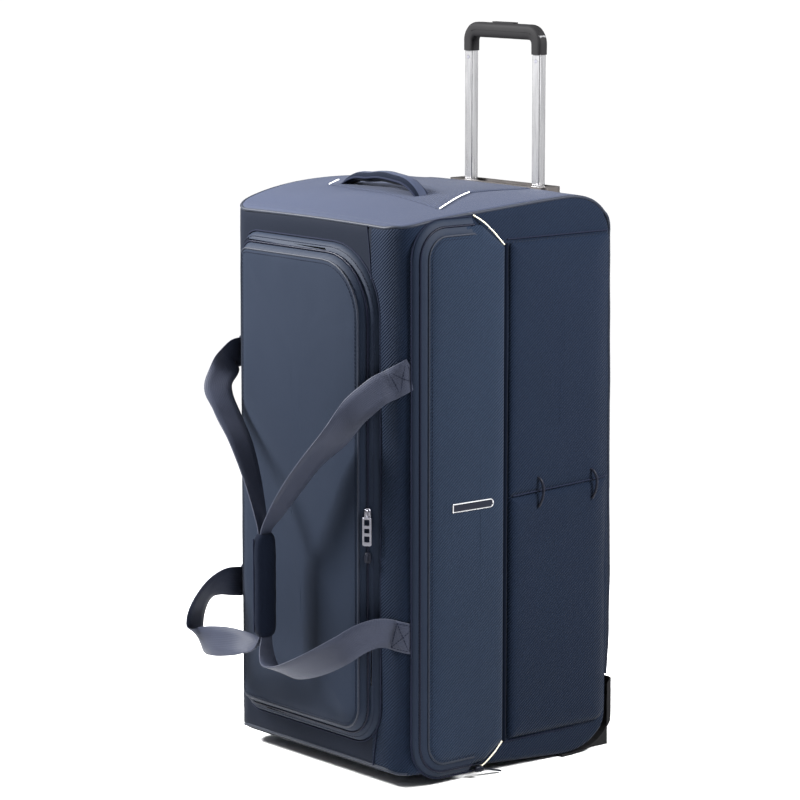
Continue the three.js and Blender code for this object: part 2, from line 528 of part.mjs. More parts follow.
// ---- wheels, housings and front feet ------------------------------------------------
function guardProfile() {
  const back = HALF_D + GUARD.out;
  const r = BACK_END_R + GUARD.out;
  const shape = new THREE.Shape();
  shape.moveTo(GUARD.front, 0);
  shape.lineTo(HALF_D - BACK_END_R, 0);
  shape.quadraticCurveTo(back, 0, back, r);
  shape.lineTo(back, GUARD.top);
  shape.lineTo(HALF_D - GUARD.lip, GUARD.top);
  shape.lineTo(GUARD.front, WALL + GUARD.out);
  return shape;
}
const cornerPlan = slab(planProfile(-GUARD.out), 'z', -GUARD.out, TOP_CROWN_Z);
for (const [name, side] of Object.entries(sides)) {
  const x0 = side > 0 ? GUARD.x0 : -GUARD.x1;
  const x1 = side > 0 ? GUARD.x1 : -GUARD.x0;
  const guardSide = slab(guardProfile(), 'x', x0, x1).intersect(cornerPlan);
  const wellInside = wellBox(side, -WELL_WALL);
  const wellRoom = block(x0, x1, WHEEL.y - wellSize - WELL_WALL, HALF_D, 0, WHEEL.z + wellSize + WELL_WALL);
  const wellShell = wellBox(side, 0).intersect(guardSide.add(wellRoom.intersect(cornerPlan)));
  const axleHole = disc(WHEEL.bore + GAP, 'x', [WHEEL.y, WHEEL.z], -far, far, 16);
  const housing = guardSide.subtract(clearOfBody).add(wellShell).subtract(wellInside).subtract(axleHole);
  piece(`wheel_housing_${name}`, housing, blackPlastic());

  const xm = side * WHEEL.x;
  const axleReach = wellX + WELL_WALL;
  piece(`wheel_axle_${name}`, disc(WHEEL.bore, 'x', [WHEEL.y, WHEEL.z], xm - axleReach, xm + axleReach, 16),
    steel());
  const hw = WHEEL.width / 2;
  const at = [WHEEL.y, WHEEL.z];
  const tyre = disc(WHEEL.r, 'x', at, xm - hw, xm + hw, 28)
    .subtract(disc(WHEEL.r - WHEEL.tread, 'x', at, xm - hw - 1, xm + hw + 1, 28));
  piece(`wheel_tyre_${name}`, tyre, tyreRubber());
  const hub = disc(WHEEL.r - WHEEL.tread - GAP, 'x', at, xm - hw + WHEEL.recess, xm + hw - WHEEL.recess, 28)
    .subtract(disc(BEARING.r, 'x', at, xm - hw, xm + hw, 16));
  piece(`wheel_hub_${name}`, hub, blackPlastic());
  const bearing = disc(BEARING.r - GAP, 'x', at, xm - BEARING.half, xm + BEARING.half, 16)
    .subtract(disc(WHEEL.bore + GAP, 'x', at, xm - BEARING.half - 1, xm + BEARING.half + 1, 16));
  piece(`wheel_bearing_${name}`, bearing, steel());

  const foot = block(side * FOOT.x - FOOT.halfX, side * FOOT.x + FOOT.halfX,
    FOOT.y - FOOT.halfY, FOOT.y + FOOT.halfY, 0, FOOT.top);
  piece(`front_foot_${name}`, foot.subtract(clearOfBody), blackPlastic());
}

// ---- zipped pocket on the side ------------------------------------------------------
const pocketOutline = (grow) => roundedRect(POCKET.front - grow, POCKET.back, POCKET.bottom - grow,
  POCKET.top + grow, [POCKET.r + grow, 2, 2, POCKET.r + grow]);
const openBack = block(-far, far, POCKET.back - POCKET.band, far, -far, far);
const wallX = HALF_W + GAP;
const doorX = HALF_W + POCKET.rise + GAP;
const gusset = slab(pocketOutline(0), 'x', wallX, HALF_W + POCKET.rise)
  .subtract(slab(pocketOutline(-POCKET.band), 'x', 0, far)).subtract(openBack);
piece('pocket_gusset', gusset, binding());
const door = new THREE.Group();
bag.add(door);
piece('pocket_door', slab(pocketOutline(0), 'x', doorX, doorX + POCKET.door), twill(), door);
const zipRun = slab(pocketOutline(POCKET_ZIP.grow), 'x', HALF_W + POCKET_ZIP.low, HALF_W + POCKET_ZIP.high)
  .subtract(slab(pocketOutline(GAP), 'x', 0, far)).subtract(openBack);
piece('pocket_zip_chain', zipRun, binding());

const badgeX = doorX + POCKET.door + GAP;
const badgeOutline = roundedRect(BADGE.y - BADGE.length / 2, BADGE.y + BADGE.length / 2,
  BADGE.z - BADGE.height / 2, BADGE.z + BADGE.height / 2, [2, 6, 6, 2]);
piece('door_badge', slab(badgeOutline, 'x', badgeX, badgeX + BADGE.thick, 4), darkMetal(), door);

const POCKET_SLIDER = { y: -60, half: 6, drop: 8, low: 1, high: 8 };
const sliderTop = POCKET.bottom - POCKET_ZIP.grow - GAP;
piece('pocket_slider', block(HALF_W + POCKET_SLIDER.low, HALF_W + POCKET_SLIDER.high,
  POCKET_SLIDER.y - POCKET_SLIDER.half, POCKET_SLIDER.y + POCKET_SLIDER.half,
  sliderTop - POCKET_SLIDER.drop, sliderTop), binding());
const TAB = { width: 6, length: 34, thick: 2.4, eye: 1.6, rise: 3, slope: 0.28 };
const tab = new THREE.BoxGeometry(TAB.width, TAB.length, TAB.thick);
tab.translate(0, TAB.length / 2 + GAP, 0);
const pocketPull = piece('pocket_pull', tab, binding());
pocketPull.position.set(HALF_W + (POCKET_SLIDER.low + POCKET_SLIDER.high) / 2,
  POCKET_SLIDER.y + POCKET_SLIDER.half + TAB.eye, sliderTop - POCKET_SLIDER.drop + TAB.rise);
pocketPull.rotation.x = -TAB.slope;

// ---- slip pocket and its upper panel ------------------------------------------------
const slipOutline = (z0, z1, cut) => roundedRect(SLIP.front + cut, SLIP.back - cut, z0, z1, [8, 20, 2, 2]);
const slipFront = HALF_W + SLIP.rise + GAP;
const slipPanel = slab(slipOutline(SLIP.bottom, SLIP.seam, 0), 'x', wallX, slipFront + SLIP.skin)
  .subtract(slab(slipOutline(SLIP.bottom + SLIP.hem, SLIP.seam + SLIP.hem, SLIP.hem), 'x', 0, slipFront));
piece('slip_pocket_panel', slipPanel, twill());
const upperOutline = roundedRect(SLIP.front, SLIP.back, SLIP.seam + SEAM_GAP, SLIP.top, [2, 2, 20, 2]);
piece('rear_upper_panel', slab(upperOutline, 'x', wallX, HALF_W + SLIP.skin), twill());

const loopX = slipFront + SLIP.skin + GAP;
const LOOP = { r: 1.6, frontY: 46, rearY: 143 };
function lashLoop(y) {
  const bow = new THREE.CatmullRomCurve3([
    new THREE.Vector3(HALF_W + 5, y, 397),
    new THREE.Vector3(loopX + 4, y + 2, 392),
    new THREE.Vector3(loopX + 7, y + 3, 378),
    new THREE.Vector3(loopX + 3, y + 1, 362),
    new THREE.Vector3(loopX + 2, y, 358),
  ]);
  const section = new THREE.Shape(new THREE.EllipseCurve(0, 0, LOOP.r, LOOP.r).getPoints(8));
  return new THREE.ExtrudeGeometry(section, { steps: 12, extrudePath: bow, curveSegments: 4 });
}
piece('lash_loop_front', lashLoop(LOOP.frontY), binding());
piece('lash_loop_rear', lashLoop(LOOP.rearY), binding());

// ---- stand the bag on its origin: centre of the footprint, floor at zero ------------
const bounds = new THREE.Box3().setFromObject(bag);
const centre = bounds.getCenter(new THREE.Vector3());
bag.position.set(-centre.x, -centre.y, -bounds.min.z);

export default bag;
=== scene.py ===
import math

import bmesh
import bpy
import numpy as np
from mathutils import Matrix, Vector, noise


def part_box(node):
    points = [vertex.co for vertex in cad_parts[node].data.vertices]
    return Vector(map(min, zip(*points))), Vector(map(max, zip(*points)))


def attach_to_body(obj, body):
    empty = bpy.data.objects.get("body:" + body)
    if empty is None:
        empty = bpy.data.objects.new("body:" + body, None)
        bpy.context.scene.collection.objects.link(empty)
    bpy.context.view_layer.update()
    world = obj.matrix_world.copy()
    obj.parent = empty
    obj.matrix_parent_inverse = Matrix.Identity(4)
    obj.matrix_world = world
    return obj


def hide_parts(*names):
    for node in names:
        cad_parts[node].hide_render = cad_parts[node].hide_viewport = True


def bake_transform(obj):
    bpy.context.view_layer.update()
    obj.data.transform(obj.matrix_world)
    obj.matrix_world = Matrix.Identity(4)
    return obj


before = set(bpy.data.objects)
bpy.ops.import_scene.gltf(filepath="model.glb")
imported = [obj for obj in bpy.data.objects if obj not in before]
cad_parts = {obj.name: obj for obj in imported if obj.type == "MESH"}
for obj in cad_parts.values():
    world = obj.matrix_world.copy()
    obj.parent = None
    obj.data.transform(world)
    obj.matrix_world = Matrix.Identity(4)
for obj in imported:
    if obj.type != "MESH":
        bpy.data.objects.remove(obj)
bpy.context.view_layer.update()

MM = 0.001

# ---- the bag's own measures, in millimetres from the middle of its footprint ----
PANEL_LOW, PANEL_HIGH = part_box("top_end_panel")
CENTRE = (PANEL_LOW + PANEL_HIGH) / 2
HALF_W = (PANEL_HIGH.x - PANEL_LOW.x) / 2 / MM
HALF_D = (PANEL_HIGH.y - PANEL_LOW.y) / 2 / MM
TOP_BACK, TOP_FRONT, TOP_CROWN = 770, 750, 790
BOTTOM_FRONT, BOTTOM_BACK = 20, 3
FRONT_R, BACK_R = 34, 16  # upright corners
BACK_END_R, FRONT_END_R = 80, 12  # round-over of both ends, back and front
EDGE_R = 7  # softness of the piped edges
WALL = 4
WELL_ROOM = 6.4  # gap round each wheel
STRIP_SEAM = 124  # where the flat front meets the corner's twill
LID_LEDGE = 6  # how far the opening lies inside the lid's outline
PIPING_INSET = 2  # of the piped edges, from the walls
STITCH_R = 0.35  # radius of a stitch
TOP_CROWN_X = 2  # rise of the top end across its width
TOP_DIP = 16  # how far its edge over the pocket side sinks

PLAN = [(-HALF_W, -HALF_D, FRONT_R), (HALF_W, -HALF_D, FRONT_R),
        (HALF_W, HALF_D, BACK_R), (-HALF_W, HALF_D, BACK_R)]
LID = [(-148, 58, 30), (139, 58, 50), (139, 714, 92), (-148, 714, 30)]
DOOR_BACK = -11
DOOR = [(-164, 13, 48), (-41, 13, 14), (-2.6, 39.6, 10), (-2.6, 716, 10), (-48, 750, 14),
        (-164, 750, 48)]
POCKET = [(-164, 13, 48), (-56, 13, 14), (DOOR_BACK, 44, 10), (DOOR_BACK, 712, 10),
          (-62, 750, 14), (-164, 750, 48)]
REAR_FRONT, REAR_BACK = -1, 178
SLIP_SEAM = 380
GRIP = {"x": -9, "y": -262, "bottom": 188, "top": 331}
WEB_THICK = 2
FOLDED_WEB = 18


def place(p):
    """A point in bag millimetres, in the row frame in metres."""
    return Vector((CENTRE.x + p[0] * MM, CENTRE.y + p[1] * MM, p[2] * MM))


def extent(node):
    """A CAD node's box in bag millimetres: lowest and highest corner."""
    low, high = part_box(node)
    shift = Vector((CENTRE.x, CENTRE.y, 0))
    return (low - shift) / MM, (high - shift) / MM


# ---- lines and outlines ----
def quadratic(a, b, c, count):
    t = np.linspace(0, 1, count)[:, None]
    a, b, c = (np.array(p, float) for p in (a, b, c))
    return (1 - t) ** 2 * a + 2 * t * (1 - t) * b + t ** 2 * c


def end_curve(front, back, crown, sign):
    """(y, z) of the top (sign 1) or bottom (sign -1) of the side profile, from front to back."""
    edge = quadratic((-HALF_D, front - sign * FRONT_END_R), (-HALF_D, front),
                     (-HALF_D + FRONT_END_R, front), 12)
    middle = quadratic((-HALF_D + FRONT_END_R, front), crown, (HALF_D - BACK_END_R, back), 40)
    end = quadratic((HALF_D - BACK_END_R, back), (HALF_D, back),
                    (HALF_D, back - sign * BACK_END_R), 60)
    return np.vstack([edge, middle[1:], end[1:]])


TOP_LINE = end_curve(TOP_FRONT, TOP_BACK, (-BACK_END_R, TOP_CROWN), 1)
BOTTOM_LINE = end_curve(BOTTOM_FRONT, BOTTOM_BACK, (0, (BOTTOM_FRONT + BOTTOM_BACK) / 2), -1)


def top_z(x, y):
    crown = TOP_CROWN_X * (1 - (x / HALF_W) ** 2)
    along = min(1, max(0, (y + HALF_D) / (2 * HALF_D - BACK_END_R))) ** 0.85
    dip = TOP_DIP * math.sin(math.pi * along) * (max(0, x) / HALF_W) ** 1.6
    return float(np.interp(y, TOP_LINE[:, 0], TOP_LINE[:, 1])) + crown - dip


def bottom_z(y):
    return float(np.interp(y, BOTTOM_LINE[:, 0], BOTTOM_LINE[:, 1]))


def outline(corners, inset, spacing=9, arc_steps=8):
    """A polygon with rounded corners (u, v, radius), anticlockwise, moved inwards by inset."""
    base = [Vector(c[:2]) for c in corners]
    n = len(base)
    inward = []
    for i in range(n):
        d = (base[(i + 1) % n] - base[i]).normalized()
        inward.append(Vector((-d.y, d.x)))
    moved = []
    for i in range(n):
        before, after = inward[i - 1], inward[i]
        moved.append(base[i] + (before + after) * (inset / (1 + before.dot(after))))
    arcs = []
    for i in range(n):
        back, ahead = moved[i - 1] - moved[i], moved[(i + 1) % n] - moved[i]
        turn = math.pi - back.angle(ahead)
        reach = max(corners[i][2] - inset, 0.6) * math.tan(turn / 2)
        reach = min(reach, 0.46 * back.length, 0.46 * ahead.length)
        a, c = moved[i] + back.normalized() * reach, moved[i] + ahead.normalized() * reach
        radius = reach / math.tan(turn / 2)
        centre = a + inward[i - 1] * radius
        start = math.atan2(a.y - centre.y, a.x - centre.x)
        arcs.append([(centre.x + radius * math.cos(start + turn * k / arc_steps),
                      centre.y + radius * math.sin(start + turn * k / arc_steps))
                     for k in range(arc_steps + 1)])
        arcs[-1][-1] = tuple(c)
    points = []
    for i in range(n):
        points += arcs[i]
        length = (base[(i + 1) % n] - base[i]).length
        count = max(1, round(length / spacing))
        a, b = Vector(arcs[i][-1]), Vector(arcs[(i + 1) % n][0])
        points += [tuple(a.lerp(b, k / count)) for k in range(1, count)]
    return points


def through(stations, count):
    """Samples of one smooth curve through the stations."""
    s = np.array(stations, float)
    chord = np.r_[0, np.cumsum(np.linalg.norm(np.diff(s[:, :3], axis=0), axis=1) ** 0.6)]
    slope = np.gradient(s, chord, axis=0)
    t = np.linspace(0, chord[-1], count)
    i = np.clip(np.searchsorted(chord, t) - 1, 0, len(chord) - 2)
    h = (chord[i + 1] - chord[i])[:, None]
    x = (t - chord[i])[:, None] / h
    return ((2 * x ** 3 - 3 * x ** 2 + 1) * s[i] + (x ** 3 - 2 * x ** 2 + x) * h * slope[i]
            + (3 * x ** 2 - 2 * x ** 3) * s[i + 1] + (x ** 3 - x ** 2) * h * slope[i + 1])


def even(points, step, closed=False):
    """The same line with evenly spaced points."""
    p = np.array([tuple(q) for q in points], float)
    if closed:
        p = np.vstack([p, p[:1]])
    run = np.r_[0, np.cumsum(np.linalg.norm(np.diff(p, axis=0), axis=1))]
    t = np.linspace(0, run[-1], max(2, round(run[-1] / step) + 1))
    q = np.column_stack([np.interp(t, run, p[:, k]) for k in range(p.shape[1])])
    return q[:-1] if closed else q


def ripple(p, size, seed=0.0):
    """Smooth noise from -1 to 1 with folds of that size in millimetres."""
    return noise.noise(Vector(p) / size + Vector((seed, 2 * seed, -seed)))


# ---- materials ----
def configure(thing, **settings):
    """Sets attributes by name."""
    for key, value in settings.items():
        setattr(thing, key, value)
    return thing


class Shader:
    """A material under construction, painted in object coordinates."""

    def __init__(self, name, **inputs):
        self.material = bpy.data.materials.new(name)
        self.material.use_nodes = True
        self.tree = self.material.node_tree
        self.bsdf = self.tree.nodes["Principled BSDF"]
        for key, value in inputs.items():
            self.feed(self.bsdf.inputs[key.replace("_", " ")], value)
        self.where = self.node("ShaderNodeTexCoord").outputs["Object"]

    def feed(self, socket, value):
        """Links an input to another node's output, or gives it a plain value."""
        if isinstance(value, bpy.types.NodeSocket):
            self.tree.links.new(value, socket)
        else:
            socket.default_value = value

    def node(self, kind, inputs=(), **settings):
        """Adds a node with these settings and (input, value) pairs."""
        made = configure(self.tree.nodes.new(kind), **settings)
        for key, value in inputs:
            self.feed(made.inputs[key], value)
        return made

    def math(self, operation, *values):
        return self.node("ShaderNodeMath", enumerate(values), operation=operation).outputs[0]

    def ribs(self, direction, period, source=None):
        """0 to 1 in even waves along direction, with that period in metres."""
        turns = [2 * math.pi * c / period for c in direction]
        dot = self.node("ShaderNodeVectorMath", ((0, source or self.where), (1, turns)),
                        operation="DOT_PRODUCT")
        return self.math("MULTIPLY_ADD", self.math("SINE", dot.outputs["Value"]), 0.5, 0.5)

    def noise(self, scale, detail=4.0, stretch=(1, 1, 1)):
        mapping = self.node("ShaderNodeMapping", (("Scale", stretch), ("Vector", self.where)))
        made = self.node("ShaderNodeTexNoise",
                         (("Scale", scale), ("Detail", detail), ("Vector", mapping.outputs[0])))
        return made.outputs["Fac"]

    def paint(self, low, high, factor):
        """Colour that runs from low to high with the factor."""
        mix = self.node("ShaderNodeMix", (("Factor", factor),), data_type="RGBA")
        self.feed(mix.inputs["A"], (*low, 1))
        self.feed(mix.inputs["B"], (*high, 1))
        self.feed(self.bsdf.inputs["Base Color"], mix.outputs["Result"])

    def roughen(self, factor, low, high):
        """Roughness that runs from low to high with the factor."""
        made = self.node("ShaderNodeMapRange", (("To Min", low), ("To Max", high), ("Value", factor)))
        self.feed(self.bsdf.inputs["Roughness"], made.outputs[0])

    def bump(self, height, distance):
        made = self.node("ShaderNodeBump", (("Distance", distance), ("Strength", 1), ("Height", height)))
        self.feed(self.bsdf.inputs["Normal"], made.outputs[0])


def shades(colour, spread):
    """A darker and a lighter shade of a colour."""
    return [c * (1 - spread) for c in colour], [c * (1 + spread) for c in colour]


def fabric(name, colour, period, directions, depth, spread=0.3, sheen=0.03, roughness=0.75, gloss=0.045):
    """Woven cloth: ribs in one or two directions, with uneven threads and a soft sheen."""
    s = Shader(name, Roughness=roughness, Sheen_Weight=sheen, Sheen_Roughness=0.4,
               Specular_IOR_Level=gloss)
    height = s.ribs(directions[0], period)
    for direction in directions[1:]:
        height = s.math("MAXIMUM", height, s.ribs(direction, period))
    thread = s.noise(260, 2.0)
    cloud = s.noise(7, 3.0)
    # colour: painted shade darkens the rib valleys and lightens the ribs, mixed with the real tone of
    # uneven threads and slow clouds
    mix = s.math("ADD", s.math("MULTIPLY", height, 0.55),
                 s.math("ADD", s.math("MULTIPLY", thread, 0.25), s.math("MULTIPLY", cloud, 0.3)))
    s.paint(*shades(colour, spread), mix)
    s.bump(s.math("ADD", height, s.math("MULTIPLY", thread, 0.5)), depth)
    return s.material


def webbing_cloth(name, colour):
    """Flat webbing: fine ribs across the strap, from its own UV in metres."""
    s = Shader(name, Roughness=0.55, Sheen_Weight=0.04, Sheen_Roughness=0.35, Specular_IOR_Level=0.15)
    uv = s.node("ShaderNodeTexCoord").outputs["UV"]
    along, across = s.ribs((0, 1, 0), 0.0016, uv), s.ribs((1, 0, 0), 0.0024, uv)
    height = s.math("ADD", along, s.math("MULTIPLY", across, 0.5))
    # colour: painted shade darkens the rib valleys, mixed with the real tone of uneven threads
    s.paint(*shades(colour, 0.22), s.math("MULTIPLY", s.math("ADD", height, s.noise(90)), 0.42))
    s.bump(height, 0.00016)
    return s.material


def moulded(name, colour, grain, roughness):
    """Moulded plastic or rubber with a fine grain and slight scuffs."""
    s = Shader(name, Roughness=roughness, Specular_IOR_Level=0.06)
    fine, large = s.noise(grain, 6.0), s.noise(14, 3.0)
    s.paint(*shades(colour, 0.25), s.math("MULTIPLY", s.math("ADD", fine, large), 0.5))
    s.bump(fine, 0.00006)
    s.roughen(large, roughness - 0.1, roughness + 0.1)
    return s.material


def metal(name, colour, roughness, stretch):
    """Bare metal with brush marks drawn out along one axis."""
    s = Shader(name, Roughness=roughness, Metallic=1)
    brush = s.noise(900, 2.0, stretch)
    cloud = s.noise(9, 2.0)
    s.paint(*shades(colour, 0.12), s.math("MULTIPLY", s.math("ADD", brush, cloud), 0.5))
    s.bump(brush, 0.00002)
    s.roughen(brush, roughness - 0.08, roughness + 0.1)
    return s.material


RISING = (-0.62, -0.62, 0.78)  # ribs that climb to the right on the front and the side
PLAIN = [(0, 0, 1), (0.7, 0.7, 0)]  # threads both ways, on an upright face
ROUND = [(0.5, 0.5, 0.7)]  # for cords, whose threads run any way
CAST = {
    "twill": fabric("SideTwill", (0.0027, 0.0055, 0.0127), 0.0034, [RISING], 0.0006, spread=0.5),
    # the pocket door's twill is the side's twill painted lighter: painted light, for the door's brighter
    # look beside the rear panels
    "pocket": fabric("PocketTwillPaintedLight", (0.0058, 0.0100, 0.0194), 0.0034, [RISING], 0.0006, spread=0.5),
    "smooth": fabric("SmoothWeave", (0.0050, 0.0080, 0.0152), 0.0011, PLAIN, 0.00012,
                     spread=0.2, sheen=0.04),
    "front": fabric("FrontWeave", (0.0018, 0.0032, 0.0072), 0.0011, PLAIN, 0.00012, spread=0.2),
    "top": fabric("TopWeave", (0.0138, 0.0180, 0.0335), 0.0011,
                  [(1, 0, 0), (0, 1, 0)], 0.00010, spread=0.14, sheen=0.02, gloss=0.12),
    "top_twill": fabric("TopTwill", (0.0125, 0.0165, 0.0310), 0.0034,
                        [(0.35, 0.94, 0)], 0.0006, spread=0.4, sheen=0.02, gloss=0.12),
    "tape": fabric("ZipTape", (0.0042, 0.0076, 0.0160), 0.0014, [(0, 0, 1)], 0.00010,
                   spread=0.2, roughness=0.6, gloss=0.08),
    "piping": fabric("Piping", (0.0046, 0.0070, 0.0140), 0.0012, [(0.6, 0.6, 0.5)], 0.00008,
                     roughness=0.55, gloss=0.15),
    "binding": fabric("Binding", (0.0050, 0.0070, 0.0160), 0.0014, [RISING], 0.0001),
    # near-black cloth for the gap behind the pocket door: painted shade
    "groove_shade": fabric("SeamGroovePaintedShade", (0.002, 0.003, 0.006), 0.0014, [RISING], 0.0001, gloss=0.0),
    "wrap": fabric("PaddedWrap", (0.0028, 0.0042, 0.0088), 0.0016, [(0, 0.7, 0.7)], 0.0002, gloss=0.02),
    "lining": fabric("Lining", (0.035, 0.036, 0.042), 0.0010, PLAIN, 0.00008),
    "cream": fabric("CreamPiping", (0.62, 0.58, 0.46), 0.0012, ROUND, 0.0001, 0.08),
    "white": fabric("WhitePiping", (0.80, 0.80, 0.80), 0.0012, ROUND, 0.0001, 0.06),
    "thread": fabric("Thread", (0.0040, 0.0055, 0.0130), 0.0008, ROUND, 0.00005),
    "webbing": webbing_cloth("Webbing", (0.0145, 0.0175, 0.0300)),
    "coil": moulded("ZipCoil", (0.004, 0.005, 0.011), 900, 0.35),
    "plastic": moulded("BlackPlastic", (0.0075, 0.0073, 0.0080), 1400, 0.65),
    "board": moulded("BoardPlastic", (0.022, 0.023, 0.026), 600, 0.6),
    "tyre": moulded("TyreRubber", (0.010, 0.010, 0.011), 700, 0.78),
    "tube": metal("TubeAluminium", (0.33, 0.33, 0.34), 0.28, (1, 1, 0.02)),
    "bezel": metal("BezelMetal", (0.085, 0.078, 0.076), 0.4, (0.03, 1, 1)),
    "steel": metal("Steel", (0.20, 0.20, 0.23), 0.34, (1, 1, 0.1)),
    "chrome": metal("BadgeChrome", (0.70, 0.70, 0.72), 0.14, (1, 0.1, 1)),
    "enamel": moulded("ZipEnamel", (0.008, 0.009, 0.014), 500, 0.3),
}


# ---- pieces ----
def link(obj):
    """Puts an object into the scene."""
    bpy.context.scene.collection.objects.link(obj)
    return obj


def tidy_mesh(mesh, sharp=38):
    """Outward faces, shaded smooth up to that angle in degrees."""
    bm = bmesh.new()
    bm.from_mesh(mesh)
    bmesh.ops.recalc_face_normals(bm, faces=bm.faces)
    bm.to_mesh(mesh)
    bm.free()
    mesh.shade_smooth()
    mesh.set_sharp_from_angle(angle=math.radians(sharp))


def new_mesh(name, points, faces, materials, indices=None, sharp=38):
    """An object from points in bag millimetres. indices gives each face its material."""
    mesh = bpy.data.meshes.new(name)
    mesh.from_pydata([place(p) for p in points], [], faces)
    for m in materials:
        mesh.materials.append(CAST[m])
    if indices is not None:
        mesh.polygons.foreach_set("material_index", indices)
    tidy_mesh(mesh, sharp)
    return link(bpy.data.objects.new(name, mesh))


def attach(obj, body, nodes=()):
    """Says which body a piece rides on, and hides the CAD parts that it replaces."""
    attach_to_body(obj, body)
    if nodes:
        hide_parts(*nodes)


def cord(name, runs, radius, material, body="bag", nodes=(), closed=False, rings=None):
    """Piping, thread or a zip's coil along one or more lines. rings alternates the radius."""
    curve = configure(bpy.data.curves.new(name, "CURVE"), dimensions="3D", bevel_depth=radius * MM,
                      bevel_resolution=2, use_fill_caps=True)
    for run in runs:
        spline = curve.splines.new("POLY")
        spline.points.add(len(run) - 1)
        for k, (point, p) in enumerate(zip(spline.points, run)):
            point.co = (*place(p), 1)
            if rings:
                point.radius = rings[k % len(rings)]
        configure(spline, use_cyclic_u=closed, use_smooth=True)
    curve.materials.append(CAST[material])
    attach(link(bpy.data.objects.new(name, curve)), body, nodes)


def dashes(path, stitch=3.4, gap=1.8, closed=False):
    """The runs of a line of stitches along a path."""
    line = even(path, (stitch + gap) / 6, closed)
    on = round(6 * stitch / (stitch + gap))
    return [line[k:k + on + 1] for k in range(0, len(line) - on, 6)]


def loft(rings):
    """Points and faces of a capped skin over closed rings with the same count of points."""
    count = len(rings[0])
    points = [p for ring in rings for p in ring]
    faces = []
    for r in range(len(rings) - 1):
        for k in range(count):
            a, b = r * count + k, r * count + (k + 1) % count
            faces.append((a, b, b + count, a + count))
    faces.append(tuple(range(count))[::-1])
    faces.append(tuple(range((len(rings) - 1) * count, len(rings) * count)))
    return points, faces


def squared(angle, power):
    """A point of the unit circle drawn out towards the corners of a square."""
    c, s = math.cos(angle), math.sin(angle)
    return math.copysign(abs(c) ** power, c), math.copysign(abs(s) ** power, s)


BACK_STEPS = 3  # steps of a profile on a pad's back, and as many on its gusset


def on_side(y, z, h):
    """A point at height h off the pocket side."""
    return (HALF_W + h, y, z)


def on_front(x, z, h):
    """A point at height h off the front."""
    return (x, -HALF_D - h, z)


def pad(name, corners, profile, where, materials, spacing=8, shape=None):
    """A closed pad whose skin rises from its outline: profile is (inset, height) pairs.

    With three materials, the first lines its back, the second covers its gusset and the third its face.
    """
    rings = []
    for inset, height in profile:
        rings.append([where(u, v, shape(u, v, inset, height) if shape else height)
                      for u, v in outline(corners, inset, spacing)])
    points, faces = loft(rings)
    indices = None
    if len(materials) == 3:
        indices = [min(2, i // len(rings[0]) // BACK_STEPS) for i in range(len(faces))]
        indices[-2] = 0
    return new_mesh(name, points, faces, materials, indices)


def ribbon(name, stations):
    """A flat web strap: each station is a point with the direction and width across it."""
    count = 220
    line = through(stations, count)
    rings, uvs, run = [], [], 0.0
    for i, row in enumerate(line):
        centre, side = Vector(row[:3]), Vector(row[3:])
        ahead = Vector(line[min(i + 1, count - 1)][:3]) - Vector(line[max(i - 1, 0)][:3])
        ahead.normalize()
        width = side.length
        side = (side - ahead * side.dot(ahead)).normalized()
        up = ahead.cross(side)
        if i:
            run += (centre - Vector(line[i - 1][:3])).length
        ring, across = [], []
        for s, n in WEB_SECTION:
            ring.append(centre + side * (s * width / 2) + up * (n * WEB_THICK / 2))
            across.append((s * width * MM / 2, run * MM))
        rings.append(ring)
        uvs += across
    points, faces = loft(rings)
    mesh = bpy.data.meshes.new(name)
    mesh.from_pydata([place(p) for p in points], [], faces)
    mesh.materials.append(CAST["webbing"])
    layer = mesh.uv_layers.new(name="UVMap")
    for loop in mesh.loops:
        layer.data[loop.index].uv = uvs[loop.vertex_index]
    tidy_mesh(mesh, 50)
    return link(bpy.data.objects.new(name, mesh))


WEB_SECTION = [(-1, -0.5), (-0.97, -1), (-0.5, -0.92), (0, -0.86), (0.5, -0.92), (0.97, -1), (1, -0.5),
               (1, 0.5), (0.97, 1), (0.5, 0.92), (0, 0.86), (-0.5, 0.92), (-0.97, 1), (-1, 0.5)]


def cut(obj, boxes):
    """Takes boxes (low, high) out of a mesh."""
    for low, high in boxes:
        corners = [(low[0], low[1], 0.01), (high[0], low[1], 0.01),
                   (high[0], high[1], 0.01), (low[0], high[1], 0.01)]
        cut_with(obj, [[(x, y, z) for x, y in outline(corners, 0, 1e4, 1)] for z in (low[2], high[2])])


def cut_with(obj, rings):
    """Takes the solid over these rings out of a mesh."""
    tool = new_mesh("tool", *loft(rings), ["lining"])
    configure(obj.modifiers.new("Cut", "BOOLEAN"), operation="DIFFERENCE", solver="EXACT", object=tool)
    bake(obj)
    bpy.data.objects.remove(tool)


def bake(obj):
    """Applies every modifier on obj."""
    bpy.context.view_layer.update()
    view = bpy.context.evaluated_depsgraph_get()
    mesh = bpy.data.meshes.new_from_object(obj.evaluated_get(view))
    obj.modifiers.clear()
    obj.data = mesh


# ---- the soft body ----
def body_ring(inset, lift, side):
    """A ring at that inset on the top (side 1) or the bottom (side -1), lift off the surface."""
    ring = []
    for x, y in outline(PLAN, inset, 7, 7):
        z = top_z(x, y) if side > 0 else bottom_z(y)
        ring.append((x, y, z - side * lift))
    return ring


